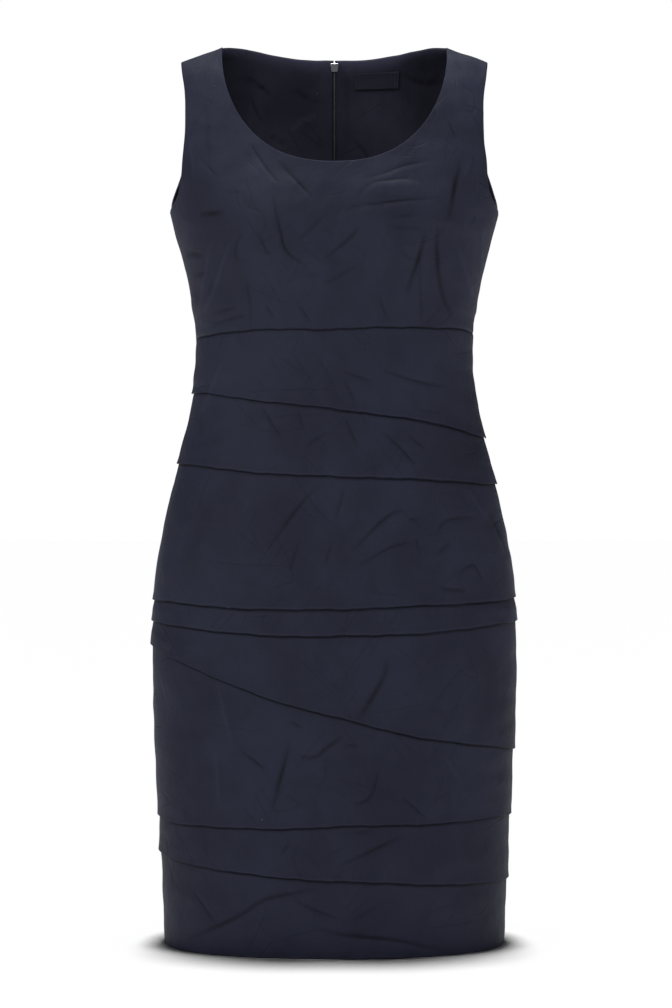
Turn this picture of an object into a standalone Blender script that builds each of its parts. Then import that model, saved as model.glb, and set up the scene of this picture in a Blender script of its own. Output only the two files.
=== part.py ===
"""Sleeveless pencil dress in navy cotton sateen, filled out as it is worn, with nobody in it.

The front is a scoop-necked bodice with waist darts, a midriff and seven skirt tiers, each tucked under
the edge of the one above. The back is two plain halves that meet at a centre-back invisible zip.

The dress faces -Y and +X is on the right of someone who looks at its front. The origin lies between the
two neck points of the shoulder seams, where the wearer's shoulders hold the dress. Sizes are in
millimetres and are turned into metres where a mesh is made. A cloth piece is drawn as the middle of its
wall, and a Solidify modifier gives the wall its thickness.
"""

import math

import bmesh
import bpy
import numpy as np
from mathutils import Matrix, Vector

MM = 0.001

# Cloth
WALL = 1.5
FACING_WALL = 1.2
TAPE_WALL = 1.0
LABEL_WALL = 1.0
SEAM_GAP = 0.3
LAYER_STEP = WALL + SEAM_GAP

# Shoulders, neck and armholes
NECK_HALF = 120.0
LEVEL_HALF = 116.0
SHOULDER_HALF = 164.0
SHOULDER_DROP = 17.2
RIDGE_ROUND = 40.0
ROLL = 90.0
FRONT_NECK_DEPTH = 136.9
NECK_POWER = 2.38
NECK_FALL_POWER = 2.15
BACK_NECK_RUN = 80.2
BACK_NECK_POWER = 0.95
UNDERARM_Z = -180.0

# Body
BODY_POWER = 2.3
HEM_Z = -960.0
BUST_X = 85.0
BUST_Z = -205.0
BUST_RISE = 13.0
BUST_WIDTH = 52.0
BUST_HEIGHT = 48.0

# Tiers
TUCK_OVERLAP = 12.0
EDGE_FLARE = 0.7

# Mesh density
HALF_COLUMNS = 16
STRAP_COLUMNS = 3
UPPER_ROWS = 13
FINE_STEPS = 400
BODICE_LOWER_ROWS = 5
BACK_ROW_HEIGHT = 41.0

# Zip and label
ZIP_END_Z = -560.0
TAPE_WIDTH = 12.5
COIL_HALF = 1.75
COIL_THICK = 1.6
FACING_EDGE = 2.2
FACING_END_ROW = 8
NECK_NOTCH = 0.9
SLIDER_LENGTH = 10.5
SLIDER_TOP_WIDTH = 9.0
SLIDER_FOOT_WIDTH = 6.6
SLIDER_THICK = 2.0
SLIDER_NECK_INSET = 1.5
BRIDGE_THICK = 1.2
BRIDGE_LENGTH = 8.0
CHEEK_GAP = 3.2
CHEEK_THICK = 1.0
CHEEK_HIGH = 3.4
PIN_RADIUS = 0.6
PIN_LIFT = 2.0
EYE_RADIUS = 1.6
PULL_LENGTH = 24.0
PULL_WIDTH = 2.6
PULL_FOOT_WIDTH = 5.4
PULL_THICK = 1.2
ROUND_STEPS = 16
LABEL_ACROSS = (23.0, 32.0, 42.0, 52.0, 62.0, 72.0)
LABEL_LEVELS = (-12.3, -20.8, -29.7)

# The middle of the cloth, level by level: half width, depth to the front, depth to the back.
SECTIONS = np.array(
    [
        (20.0, 190.0, 74.0, 84.0),
        (-60.0, 188.0, 86.0, 103.0),
        (-120.0, 185.0, 99.0, 110.0),
        (-160.0, 180.0, 106.0, 109.0),
        (-180.0, 176.0, 108.0, 107.0),
        (-227.0, 163.2, 109.0, 98.0),
        (-257.0, 155.8, 107.0, 92.0),
        (-287.0, 150.9, 104.0, 87.0),
        (-325.0, 147.7, 101.0, 83.0),
        (-363.0, 149.2, 99.0, 82.0),
        (-393.0, 153.7, 99.0, 86.0),
        (-453.0, 167.5, 102.0, 103.0),
        (-513.0, 181.5, 105.0, 121.0),
        (-574.0, 190.8, 108.0, 132.0),
        (-634.0, 194.2, 111.0, 136.0),
        (-694.0, 193.6, 113.0, 133.0),
        (-754.0, 191.0, 115.0, 127.0),
        (-845.0, 186.0, 120.0, 119.0),
        (-960.0, 181.8, 124.0, 118.0),
    ],
    dtype=[("z", float), ("half", float), ("front", float), ("back", float)],
)

# Half width between the armhole edges, from the shoulder tip to the underarm.
ARMHOLES = np.array(
    [
        (-18.0, 164.0, 164.0),
        (-74.0, 157.0, 160.0),
        (-106.0, 157.5, 163.0),
        (-130.0, 160.2, 167.5),
        (-152.0, 163.0, 173.2),
        (-167.0, 167.0, 176.2),
        (-180.0, 176.0, 176.0),
    ],
    dtype=[("z", float), ("front", float), ("back", float)],
)

# Height of each edge across the front, at shares of the half width from the left side seam to the right.
EDGE_STATIONS = (-1.0, -0.9, -0.7, -0.35, 0.0, 0.35, 0.7, 0.9, 1.0)
EDGES = {
    "under_bust": (-315, -314, -312, -311, -311, -309, -308, -308, -309),
    "tuck_1": (-374, -375, -380, -387, -393, -400, -409, -417, -422),
    "tuck_2": (-449, -451, -455, -461, -463, -465, -468, -470, -471),
    "tuck_3": (-594, -595, -598, -601, -601, -598, -596, -593, -591),
    "tuck_4": (-616, -618, -623, -628, -628, -627, -622, -618, -616),
    "tuck_5": (-641, -650, -667, -693, -711, -729, -741, -748, -753),
    "tuck_6": (-823, -826, -827, -827, -824, -823, -822, -821, -822),
    "tuck_7": (-861, -865, -870, -876, -880, -883, -887, -889, -890),
    "hem": (HEM_Z,) * 9,
}

# The front's panels below the bodice, from the edge that each starts under to the edge it ends at.
BANDS = (
    # name, upper edge, lower edge, rows between the two overlaps
    ("front_midriff", "under_bust", "tuck_1", 3),
    ("front_tier_1", "tuck_1", "tuck_2", 3),
    ("front_tier_2", "tuck_2", "tuck_3", 5),
    ("front_tier_3", "tuck_3", "tuck_4", 1),
    ("front_tier_4", "tuck_4", "tuck_5", 3),
    ("front_tier_5", "tuck_5", "tuck_6", 4),
    ("front_tier_6", "tuck_6", "tuck_7", 2),
    ("front_tier_7", "tuck_7", "hem", 4),
)

# The largest folds. Each is a soft ridge, or a trough where its rise is below zero, on a straight line.
FOLDS = np.array(
    [
        (-1, -104, -212, -122, -262, 20, 2.6),
        (-1, -122, -262, -143, -302, 18, 2.0),
        (-1, 107, -200, 113, -288, 19, -2.8),
        (-1, 129, -216, 150, -290, 18, 2.4),
        (-1, 92, -212, 74, -272, 17, -2.0),
        (-1, 20, -174, 98, -160, 17, 2.0),
        (-1, -86, -120, -30, -174, 18, -2.0),
        (-1, -88, -262, -88, -306, 14, -1.6),
        (-1, 90, -240, 90, -304, 14, -1.6),
        (-1, -110, -332, -140, -370, 18, 1.8),
        (-1, -70, -545, -14, -470, 22, 2.4),
        (-1, 16, -548, 74, -496, 22, 2.2),
        (-1, 30, -700, 68, -655, 20, 2.0),
        (-1, -38, -764, 8, -742, 20, -2.0),
        (-1, -50, -740, -66, -808, 22, 2.0),
        (-1, -150, -944, -20, -896, 22, 2.2),
        (-1, -20, -918, 108, -946, 20, -2.0),
        (1, -130, -215, -90, -290, 24, -2.4),
        (1, 125, -225, 95, -300, 24, -2.2),
        (1, -120, -372, -30, -352, 24, 2.4),
        (1, 28, -360, 118, -384, 24, 2.2),
        (1, -60, -560, -140, -500, 28, 2.2),
        (1, 70, -720, 130, -650, 28, 2.0),
    ],
    dtype=[
        ("side", float),
        ("x1", float),
        ("z1", float),
        ("x2", float),
        ("z2", float),
        ("width", float),
        ("rise", float),
    ],
)


def smooth(table, column, at, key="z"):
    """Reads a column at some heights, on a smooth curve through the table's rows."""
    order = np.argsort(table[key])
    keys = table[key][order]
    values = table[column][order]
    slopes = np.gradient(values, keys)
    low = np.clip(np.searchsorted(keys, at) - 1, 0, len(keys) - 2)
    span = keys[low + 1] - keys[low]
    t = np.clip((at - keys[low]) / span, 0.0, 1.0)
    start = (1 + 2 * t) * (1 - t) ** 2 * values[low] + t * (1 - t) ** 2 * span * slopes[low]
    end = t * t * (3 - 2 * t) * values[low + 1] + t * t * (t - 1) * span * slopes[low + 1]
    return start + end


def edge_height(name, shares):
    """Height of a seam or tuck edge at shares of the half width."""
    table = np.array(list(zip(EDGE_STATIONS, EDGES[name])), dtype=[("share", float), ("z", float)])
    return smooth(table, "z", shares, key="share")


# The form that all the cloth lies on.


def ridge(x):
    """Height of the shoulder line, highest at the middle of the neck and level with the origin beside it."""
    level = math.hypot(LEVEL_HALF, RIDGE_ROUND)
    fall = SHOULDER_DROP / (math.hypot(SHOULDER_HALF, RIDGE_ROUND) - level)
    return fall * (level - np.hypot(x, RIDGE_ROUND)) - WALL / 2


def full_depth(x, z, side):
    """Depth of the body at a place, before the shoulders round it off."""
    share = np.clip(np.abs(x) / smooth(SECTIONS, "half", z), 0.0, 1.0)
    depth = smooth(SECTIONS, "front" if side < 0 else "back", z)
    bust = np.exp(-(((np.abs(x) - BUST_X) / BUST_WIDTH) ** 2) - ((z - BUST_Z) / BUST_HEIGHT) ** 2)
    if side < 0:
        depth = depth + BUST_RISE * bust * (1 - share**2)
    return depth * (1 - share**BODY_POWER) ** (1 / BODY_POWER)


def surface_depth(x, z, side):
    """Depth of the cloth at a place, with the shoulders' rounding."""
    climb = np.clip((z - ridge(x) + ROLL) / ROLL, 0.0, 1.0)
    return full_depth(x, z, side) * np.sqrt(1 - climb**2)


def along_cloth(x, z):
    """Distance down the cloth from the shoulder line to a height, below zero."""
    drop = ridge(x) - z
    rounded = -ROLL * np.arccos(np.clip(1 - drop / ROLL, 0.0, 1.0))
    return np.where(drop < ROLL, rounded, -(ROLL * math.pi / 2 + drop - ROLL))


def from_cloth(x, q, side):
    """The point on the form at a place across and a distance down the cloth."""
    angle = np.clip(-q / ROLL, 0.0, math.pi / 2)
    z = ridge(x) - ROLL * (1 - np.cos(angle)) + np.minimum(q + ROLL * math.pi / 2, 0.0)
    y = side * full_depth(x, z, side) * np.sin(angle)
    return np.stack([x, y, z], axis=-1)


def on_body(x, z, side):
    """The point on the form at a place across and a height."""
    return np.stack([x, side * surface_depth(x, z, side), z], axis=-1)


def outward(points, side):
    """Unit direction out of the form at its points."""
    step = 0.5
    x, y, z = points[..., 0], points[..., 1], points[..., 2]

    def depth_squared(across, height):
        return surface_depth(across, height, side) ** 2

    slope_x = (depth_squared(x - step, z) - depth_squared(x + step, z)) / (2 * step)
    slope_z = (depth_squared(x, z - step) - depth_squared(x, z + step)) / (2 * step)
    normals = np.stack([slope_x, 2 * y, slope_z], axis=-1)
    return normals / np.linalg.norm(normals, axis=-1, keepdims=True)


def fold_rise(points, side):
    """How far the folds lift the cloth at its points."""
    rise = np.zeros(points.shape[:-1])
    for fold in FOLDS[FOLDS["side"] == side]:
        start = np.array([fold["x1"], fold["z1"]])
        run = np.array([fold["x2"], fold["z2"]]) - start
        offset = points[..., (0, 2)] - start
        share = np.clip(offset @ run / (run @ run), 0.0, 1.0)
        away = np.linalg.norm(offset - share[..., None] * run, axis=-1)
        rise += fold["rise"] * np.exp(-((away / fold["width"]) ** 2))
    return rise


def lifted(points, side, offset):
    """Moves points outward by an offset and the folds, and back from the side seam by half its gap."""
    moved = points + outward(points, side) * (offset + fold_rise(points, side))[..., None]
    moved[..., 1] += side * SEAM_GAP / 2
    return moved


# Grids of points: rows from top to bottom, columns from -X to +X.


def shares_across():
    """Shares of the half width, spaced evenly round the body."""
    angles = np.linspace(-math.pi / 2, math.pi / 2, 2 * HALF_COLUMNS + 1)
    return np.sin(angles)


def evenly(line, count):
    """Points at even distances along a line of points."""
    lengths = np.concatenate([[0.0], np.cumsum(np.linalg.norm(np.diff(line, axis=0), axis=-1))])
    wanted = np.linspace(0.0, lengths[-1], count)
    return np.stack([np.interp(wanted, lengths, line[:, axis]) for axis in range(line.shape[1])], axis=-1)


def neck_line(side):
    """Top edge of a front or back, from shoulder tip to shoulder tip, as x and distance down the cloth."""
    turns = np.linspace(0.0, math.pi / 2, FINE_STEPS)
    x = NECK_HALF * np.cos(turns)
    if side < 0:
        top = ridge(NECK_HALF)
        z = top - (FRONT_NECK_DEPTH + top) * (1 - (x / NECK_HALF) ** NECK_POWER) ** (1 / NECK_FALL_POWER)
        q = along_cloth(x, z)
    else:
        q = -BACK_NECK_RUN * (1 - (x / NECK_HALF) ** 2) ** BACK_NECK_POWER
    neck = evenly(np.stack([x, q], axis=-1), HALF_COLUMNS - STRAP_COLUMNS + 1)
    strap_x = np.linspace(SHOULDER_HALF, NECK_HALF, STRAP_COLUMNS + 1)
    strap = np.stack([strap_x, np.zeros(STRAP_COLUMNS + 1)], axis=-1)
    right = np.concatenate([strap[:-1], neck])
    left = right[:-1] * (-1, 1)
    return np.concatenate([left, right[::-1]])


def armhole_line(side):
    """Armhole edge from the shoulder tip to the underarm, as x and distance down the cloth."""
    z = np.linspace(ridge(SHOULDER_HALF), UNDERARM_Z, FINE_STEPS)
    x = smooth(ARMHOLES, "front" if side < 0 else "back", z)
    q = along_cloth(x, z)
    return evenly(np.column_stack([from_cloth(x, q, side), x, q]), UPPER_ROWS + 1)[:, 3:]


def upper_grid(side):
    """The part above the underarm: a patch between the armholes, the neck and the underarm level."""
    count = 2 * HALF_COLUMNS + 1
    top = neck_line(side)
    low_x = smooth(SECTIONS, "half", np.full(count, UNDERARM_Z)) * shares_across()
    low = np.stack([low_x, along_cloth(low_x, np.full(count, UNDERARM_Z))], axis=-1)
    right = armhole_line(side)
    left = right * (-1, 1)
    v = (right[:, 1] / right[-1, 1])[:, None, None]
    u = ((low_x - low_x[0]) / (low_x[-1] - low_x[0]))[None, :, None]
    blend = (1 - v) * top + v * low + (1 - u) * left[:, None] + u * right[:, None]
    corners = (1 - v) * ((1 - u) * top[0] + u * top[-1]) + v * ((1 - u) * low[0] + u * low[-1])
    flat = blend - corners
    return from_cloth(flat[..., 0], flat[..., 1], side)


def level_rows(heights, side):
    """Rows of points on the form, where heights has a row of heights for each."""
    x = smooth(SECTIONS, "half", heights) * shares_across()
    return on_body(x, heights, side)


def between(high, low, rows):
    """Heights in even steps from one edge to another, without the first."""
    steps = np.arange(1, rows + 1)[:, None] / rows
    return high + (low - high) * steps


# Objects.


def material(name, colour, roughness, metallic=0.0):
    made = bpy.data.materials.new(name)
    made.use_nodes = True
    shader = made.node_tree.nodes["Principled BSDF"]
    shader.inputs["Base Color"].default_value = (*colour, 1.0)
    shader.inputs["Roughness"].default_value = roughness
    shader.inputs["Metallic"].default_value = metallic
    made.diffuse_color = (*colour, 1.0)
    return made


def add_object(name, mesh, finish):
    mesh.materials.append(finish)
    made = bpy.data.objects.new(name, mesh)
    bpy.context.scene.collection.objects.link(made)
    return made


def cloth_panel(name, grid, wall, side, finish):
    """A cloth piece through a grid of points in millimetres, with a wall of even thickness."""
    rows, columns = grid.shape[:2]
    faces = []
    for row in range(rows - 1):
        for column in range(columns - 1):
            corner = row * columns + column
            face = [corner, corner + columns, corner + columns + 1, corner + 1]
            faces.append(face if side < 0 else face[::-1])
    mesh = bpy.data.meshes.new(name)
    mesh.from_pydata([tuple(point) for point in grid.reshape(-1, 3) * MM], [], faces)
    mesh.shade_smooth()
    made = add_object(name, mesh, finish)
    thickness = made.modifiers.new("Wall", "SOLIDIFY")
    thickness.thickness = wall * MM
    thickness.offset = 0.0
    return made


def along_row(row, x):
    """What a row of a sheet holds at a place across."""
    return [np.interp(x, row[:, 0], values) for values in row.T]


def at_places(sheet, across, heights):
    """Points of a sheet, and what it holds beside them, at places across and at heights."""
    strips = np.array([[along_row(row, x) for row in sheet] for x in across])
    depths = -np.asarray(heights, float)
    found = [[np.interp(depths, -strip[:, 2], values) for values in strip.T] for strip in strips]
    return np.array(found).transpose(2, 0, 1)


def inside(sheet, depth):
    """Moves the points of a sheet into the dress, along the directions that it holds."""
    return sheet[..., :3] - sheet[..., 3:] * np.asarray(depth)[..., None]


def front_pieces(finish):
    """The bodice, and below it the midriff and the tiers, each over the top of the next."""
    shares = shares_across()
    heights = {name: edge_height(name, shares) for name in EDGES}

    upper = upper_grid(-1)
    underarm = np.full(len(shares), UNDERARM_Z)
    seam = heights["under_bust"] + SEAM_GAP / 2
    lower = level_rows(between(underarm, seam, BODICE_LOWER_ROWS), -1)
    bodice = np.concatenate([upper, lower])
    cloth_panel("front_bodice", lifted(bodice, -1, np.zeros(bodice.shape[:2])), WALL, -1, finish)

    for name, upper_edge, lower_edge, rows in BANDS:
        tucked = upper_edge != "under_bust"
        laps = lower_edge != "hem"
        edge = heights[upper_edge] if tucked else heights[upper_edge] - SEAM_GAP / 2
        foot = heights[lower_edge]
        lap = foot + TUCK_OVERLAP if laps else foot
        levels = [edge[None], between(edge, lap, rows)]
        offsets = [0.0, *(np.arange(1, rows + 1) / rows * (LAYER_STEP if laps else 0.0))]
        if tucked:
            levels.insert(0, edge[None] + TUCK_OVERLAP)
            offsets.insert(0, 0.0)
        if laps:
            levels.append(foot[None])
            offsets.append(LAYER_STEP + EDGE_FLARE)
        points = level_rows(np.concatenate(levels), -1)
        offset = np.repeat(np.array(offsets)[:, None], len(shares), axis=1)
        cloth_panel(name, lifted(points, -1, offset), WALL, -1, finish)


def back_sheet():
    """Middle of the whole back's wall: at each place its point, then the direction out of it."""
    upper = upper_grid(1)
    count = 2 * HALF_COLUMNS + 1
    rows = round((UNDERARM_Z - HEM_Z) / BACK_ROW_HEIGHT)
    levels = between(np.full(count, UNDERARM_Z), np.full(count, HEM_Z), rows)
    whole = np.concatenate([upper, level_rows(levels, 1)])
    return np.concatenate([lifted(whole, 1, np.zeros(whole.shape[:2])), outward(whole, 1)], axis=-1)


def halves(grid, opening):
    """Splits a grid at its middle column and parts the halves by an opening for each row."""
    middle = grid.shape[1] // 2
    left = grid[:, : middle + 1].copy()
    right = grid[:, middle:].copy()
    left[:, -1, 0] -= opening
    right[:, 0, 0] += opening
    return left, right


def back_pieces(grid, finish):
    opening = np.full(len(grid), SEAM_GAP / 2)
    opening[:2] = NECK_NOTCH
    left, right = halves(grid, opening)
    cloth_panel("back_left", left, WALL, 1, finish)
    cloth_panel("back_right", right, WALL, 1, finish)


def inner_pieces(sheet, finishes):
    """What lies inside the back, from its own points: the zip's tapes and coil, the facing, the label."""
    middle = sheet.shape[1] // 2
    levels = sheet[1:, middle, 2]
    levels = levels[levels > ZIP_END_Z]
    over_tape = WALL / 2 + SEAM_GAP + TAPE_WALL + SEAM_GAP
    facing_raised = over_tape + FACING_WALL / 2
    facing_flat = WALL / 2 + SEAM_GAP + FACING_WALL / 2

    for side_name, direction in (("left", -1), ("right", 1)):
        tape = at_places(sheet, sorted((direction * SEAM_GAP / 2, direction * TAPE_WIDTH)), levels)
        tape = inside(tape, WALL / 2 + SEAM_GAP + TAPE_WALL / 2)
        cloth_panel("zip_tape_" + side_name, tape, TAPE_WALL, 1, finishes["tape"])

        edges = [direction * FACING_EDGE, direction * (TAPE_WIDTH + 1)]
        rows = []
        for row in sheet[: FACING_END_ROW + 1]:
            by_zip = [along_row(row, x) for x in edges]
            outer = row[middle + 2 :] if direction > 0 else row[: middle - 1][::-1]
            rows.append(np.concatenate([by_zip, outer]))
        rows = np.array(rows)
        depth = np.full(rows.shape[1], facing_flat)
        depth[:2] = facing_raised
        facing = inside(rows, depth)
        if direction < 0:
            facing = facing[:, ::-1]
        cloth_panel("back_facing_" + side_name, facing, FACING_WALL, 1, finishes["facing"])

    coil = at_places(sheet, (-COIL_HALF, COIL_HALF), levels)
    cloth_panel("zip_coil", inside(coil, over_tape + COIL_THICK / 2), COIL_THICK, 1, finishes["coil"])

    label = at_places(sheet, LABEL_ACROSS, LABEL_LEVELS)
    label = inside(label, facing_flat + (FACING_WALL + LABEL_WALL) / 2 + SEAM_GAP)
    cloth_panel("neck_label", label, LABEL_WALL, 1, finishes["label"])
    return over_tape + FACING_WALL


def block(bm, low, high, low_half=None):
    """Adds a box, or one whose lower end has another half width."""
    made = bmesh.ops.create_cube(bm, size=1.0)["verts"]
    centre = (Vector(low) + Vector(high)) / 2
    size = Vector(high) - Vector(low)
    for vert in made:
        below = vert.co.z < 0
        vert.co = Vector([vert.co[i] * size[i] + centre[i] for i in range(3)])
        if low_half and below:
            vert.co.x = math.copysign(low_half, vert.co.x)
    return made


def piece_object(name, bm, finish):
    bmesh.ops.recalc_face_normals(bm, faces=bm.faces[:])
    bmesh.ops.scale(bm, vec=(MM, MM, MM), verts=bm.verts[:])
    mesh = bpy.data.meshes.new(name)
    bm.to_mesh(mesh)
    bm.free()
    return add_object(name, mesh, finish)


def joined(target, name, bm, finish):
    """Joins a solid to another by a union, and leaves only the one."""
    tool = piece_object(name, bm, finish)
    union = target.modifiers.new(name, "BOOLEAN")
    union.operation = "UNION"
    union.object = tool
    tool.hide_render = True
    tool.display_type = "WIRE"
    tool.parent = target
    return tool


def zip_slider(frame, stack, finish):
    """The slider: a tapered body inside, a neck between the panels, and outside a bridge with a pin.

    In its own frame X runs across, Y out of the dress and Z up, and Y is 0 at the panels' middle.
    """
    half = SLIDER_LENGTH / 2
    body_in = -stack - SEAM_GAP
    outer = WALL / 2 + SEAM_GAP
    pin_y = outer + BRIDGE_THICK + PIN_LIFT

    bm = bmesh.new()
    top = SLIDER_TOP_WIDTH / 2
    block(bm, (-top, body_in - SLIDER_THICK, -half), (top, body_in, half), low_half=SLIDER_FOOT_WIDTH / 2)
    slider = piece_object("zip_slider", bm, finish)

    neck_half = NECK_NOTCH - SEAM_GAP
    neck_high = half - SLIDER_NECK_INSET
    bm = bmesh.new()
    neck_in = body_in - SLIDER_THICK / 2
    neck_out = outer + BRIDGE_THICK / 2
    block(bm, (-neck_half, neck_in, -neck_high), (neck_half, neck_out, neck_high))
    joined(slider, "slider_neck", bm, finish)

    cheek_in = CHEEK_GAP / 2
    cheek_out = cheek_in + CHEEK_THICK
    bridge_high = BRIDGE_LENGTH / 2
    bm = bmesh.new()
    block(bm, (-cheek_out, outer, -bridge_high), (cheek_out, outer + BRIDGE_THICK, bridge_high))
    joined(slider, "slider_bridge", bm, finish)
    for direction in (-1, 1):
        edges = sorted((direction * cheek_in, direction * cheek_out))
        bm = bmesh.new()
        block(bm, (edges[0], neck_out, -EYE_RADIUS), (edges[1], neck_out + CHEEK_HIGH, EYE_RADIUS))
        joined(slider, "slider_cheek_" + ("left" if direction < 0 else "right"), bm, finish)

    bm = bmesh.new()
    pin = bmesh.ops.create_cone(
        bm,
        cap_ends=True,
        segments=ROUND_STEPS,
        radius1=PIN_RADIUS,
        radius2=PIN_RADIUS,
        depth=CHEEK_GAP + CHEEK_THICK,
    )
    bmesh.ops.rotate(bm, matrix=Matrix.Rotation(math.pi / 2, 3, "Y"), verts=pin["verts"])
    bmesh.ops.translate(bm, vec=(0, pin_y, 0), verts=pin["verts"])
    joined(slider, "slider_pin", bm, finish)

    slider.matrix_world = frame
    return frame @ Vector((0, pin_y * MM, 0))


def zip_pull(place, lean, finish):
    """The pull tab: an eye round the pin, and a plate that widens to its foot, hanging from it."""
    bm = bmesh.new()
    bore = PIN_RADIUS + SEAM_GAP
    ends = []
    for direction in (-1, 1):
        outer_ring = []
        inner_ring = []
        for step in range(ROUND_STEPS):
            angle = 2 * math.pi * (step + 0.5) / ROUND_STEPS
            y, z = math.sin(angle), math.cos(angle)
            inner_ring.append(bm.verts.new((direction * PULL_WIDTH / 2, bore * y, bore * z)))
            tail = abs(y) * EYE_RADIUS < PULL_THICK / 2 + 0.1 and z < 0
            if tail:
                y, z = math.copysign(PULL_THICK / 2, y), -PULL_LENGTH
                outer_ring.append(bm.verts.new((direction * PULL_FOOT_WIDTH / 2, y, z)))
            else:
                outer_ring.append(bm.verts.new((direction * PULL_WIDTH / 2, EYE_RADIUS * y, EYE_RADIUS * z)))
        ends.append((outer_ring, inner_ring))
    for step in range(ROUND_STEPS):
        after = (step + 1) % ROUND_STEPS
        (left_out, left_in), (right_out, right_in) = ends
        bm.faces.new((left_out[step], left_out[after], left_in[after], left_in[step]))
        bm.faces.new((right_out[after], right_out[step], right_in[step], right_in[after]))
        bm.faces.new((left_out[after], left_out[step], right_out[step], right_out[after]))
        bm.faces.new((left_in[step], left_in[after], right_in[after], right_in[step]))
    pull = piece_object("zip_pull", bm, finish)
    pull.location = place
    pull.rotation_euler = (lean, 0, 0)


def zip_hardware(sheet, stack, finish):
    """Seats the slider on the top step of the back, and leans the pull on the cloth below it."""
    middle = sheet.shape[1] // 2
    line = sheet[:, middle]
    up = Vector(line[0, :3] - line[1, :3]).normalized()
    across = Vector((1, 0, 0))
    out = up.cross(across)
    frame = Matrix((across, out, up)).transposed().to_4x4()
    frame.translation = (Vector(line[0, :3]) - up * (SLIDER_LENGTH / 2)) * MM
    pin = zip_slider(frame, stack, finish)

    pin_y, pin_z = pin.y / MM, pin.z / MM
    seat = inside(line, -(WALL / 2 + SEAM_GAP + PULL_THICK / 2))
    heights = np.linspace(pin_z - PULL_LENGTH, pin_z - PULL_LENGTH / 3, FINE_STEPS)
    seat_y = np.interp(heights, seat[::-1, 2], seat[::-1, 1])
    reached = np.hypot(seat_y - pin_y, heights - pin_z) < PULL_LENGTH
    leans = np.arctan2(seat_y - pin_y, pin_z - heights)
    zip_pull(pin, leans[reached].max(), finish)


def clear_scene():
    for existing in list(bpy.data.objects):
        bpy.data.objects.remove(existing, do_unlink=True)


clear_scene()
navy = material("navy_sateen", (0.022, 0.024, 0.037), 0.72)
finishes = {
    "facing": material("navy_facing", (0.012, 0.012, 0.019), 0.8),
    "tape": material("navy_tape", (0.010, 0.010, 0.016), 0.85),
    "coil": material("navy_coil", (0.020, 0.020, 0.028), 0.5),
    "label": material("navy_label", (0.016, 0.016, 0.024), 0.6),
}
grey_metal = material("grey_metal", (0.30, 0.30, 0.32), 0.35, metallic=0.9)

front_pieces(navy)
back = back_sheet()
back_pieces(back[..., :3], navy)
stack_depth = inner_pieces(back, finishes)
zip_hardware(back, stack_depth, grey_metal)
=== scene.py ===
import math

import bmesh
import bpy
import numpy as np
from mathutils import Matrix, Vector


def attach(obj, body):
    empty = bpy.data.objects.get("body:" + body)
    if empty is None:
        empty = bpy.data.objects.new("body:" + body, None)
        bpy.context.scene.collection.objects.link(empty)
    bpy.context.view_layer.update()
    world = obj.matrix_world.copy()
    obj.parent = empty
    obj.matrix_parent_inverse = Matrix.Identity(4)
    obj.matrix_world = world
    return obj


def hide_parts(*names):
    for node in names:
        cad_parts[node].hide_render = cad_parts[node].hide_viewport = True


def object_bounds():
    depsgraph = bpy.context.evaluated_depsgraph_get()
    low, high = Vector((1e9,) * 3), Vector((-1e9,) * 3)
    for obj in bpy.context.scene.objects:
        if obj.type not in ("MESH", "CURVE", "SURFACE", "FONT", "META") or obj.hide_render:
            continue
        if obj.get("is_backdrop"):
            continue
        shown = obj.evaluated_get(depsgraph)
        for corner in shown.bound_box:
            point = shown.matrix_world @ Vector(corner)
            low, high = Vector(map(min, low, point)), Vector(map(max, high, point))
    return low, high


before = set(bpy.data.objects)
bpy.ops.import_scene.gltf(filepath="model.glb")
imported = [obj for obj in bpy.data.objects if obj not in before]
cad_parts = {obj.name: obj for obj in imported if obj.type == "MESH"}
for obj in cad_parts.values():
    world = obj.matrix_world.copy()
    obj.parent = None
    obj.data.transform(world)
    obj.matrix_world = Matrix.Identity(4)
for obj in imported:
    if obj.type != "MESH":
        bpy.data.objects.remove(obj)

cad_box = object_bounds()


# ---------------------------------------------------------------------------------------------------
# Front bodice. One piece of navy cotton sateen from the shoulder seams to the seam under the bust,
# with a scooped neck and two waist darts. Its neck and armholes are faced, so the edges are clean
# folds. It is drawn as a sheet that lies on the dress's form, in millimetres, then given a thin wall.

MM = 0.001
CLOTH = 1.25
SEAM_GAP = 0.3
FRONT = -1
BACK = 1

NECK_HALF = 120.0
LEVEL_HALF = 116.0
SHOULDER_HALF = 164.0
SHOULDER_DROP = 17.2
RIDGE_ROUND = 40.0
RIDGE_SETTLE = 0.75
ROLL = 90.0
FRONT_NECK_DEPTH = 136.9
NECK_POWER = 2.38
NECK_FALL_POWER = 2.15
BACK_NECK_RUN = 80.2
BACK_NECK_POWER = 0.95
UNDERARM_Z = -180.0
STRAP_SHARE = 3 / 16
CREASE_POWER = 1.4
CREASE_ROUND = 0.25
LIP_PLACE = 1.9
LIP_RISE = 0.25
SHARP_REACH = 8.0
SHARP_RISE = 0.55
WIDE_REACH = 3.0
# Painted shading along narrow creases: how wide it runs, the rise that gives it in full, and the cap on a
# ridge's painted highlight.
PAINTED_LINE_REACH = 1.3
PAINTED_LINE_RISE = 2.0
RIDGE_PAINTED_HIGHLIGHT = 0.35
LIP_SPREAD = 1.5
FADE_POWER = 0.7
UNEVEN = 0.15
UNEVEN_LENGTH = 11.0
WAVE_SEED = 5
WAVE_COUNT = 18
WAVE_LENGTHS = (18.0, 60.0)
WAVE_RISE = 0.32
SEAM_DEPTH = 0.9
SEAM_REACH = 1.5
EDGE_ROWS = (0.0, 0.7, 1.6)
EDGE_BAND = 2.8
RIM_SHARE = 0.4
CURVE_POINTS = 600

BODY_POWER = 2.3
HEM_Z = -960.0
BUST_X = 85.0
BUST_Z = -205.0
BUST_RISE = 13.0
BUST_WIDTH = 52.0
BUST_HEIGHT = 48.0

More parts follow.
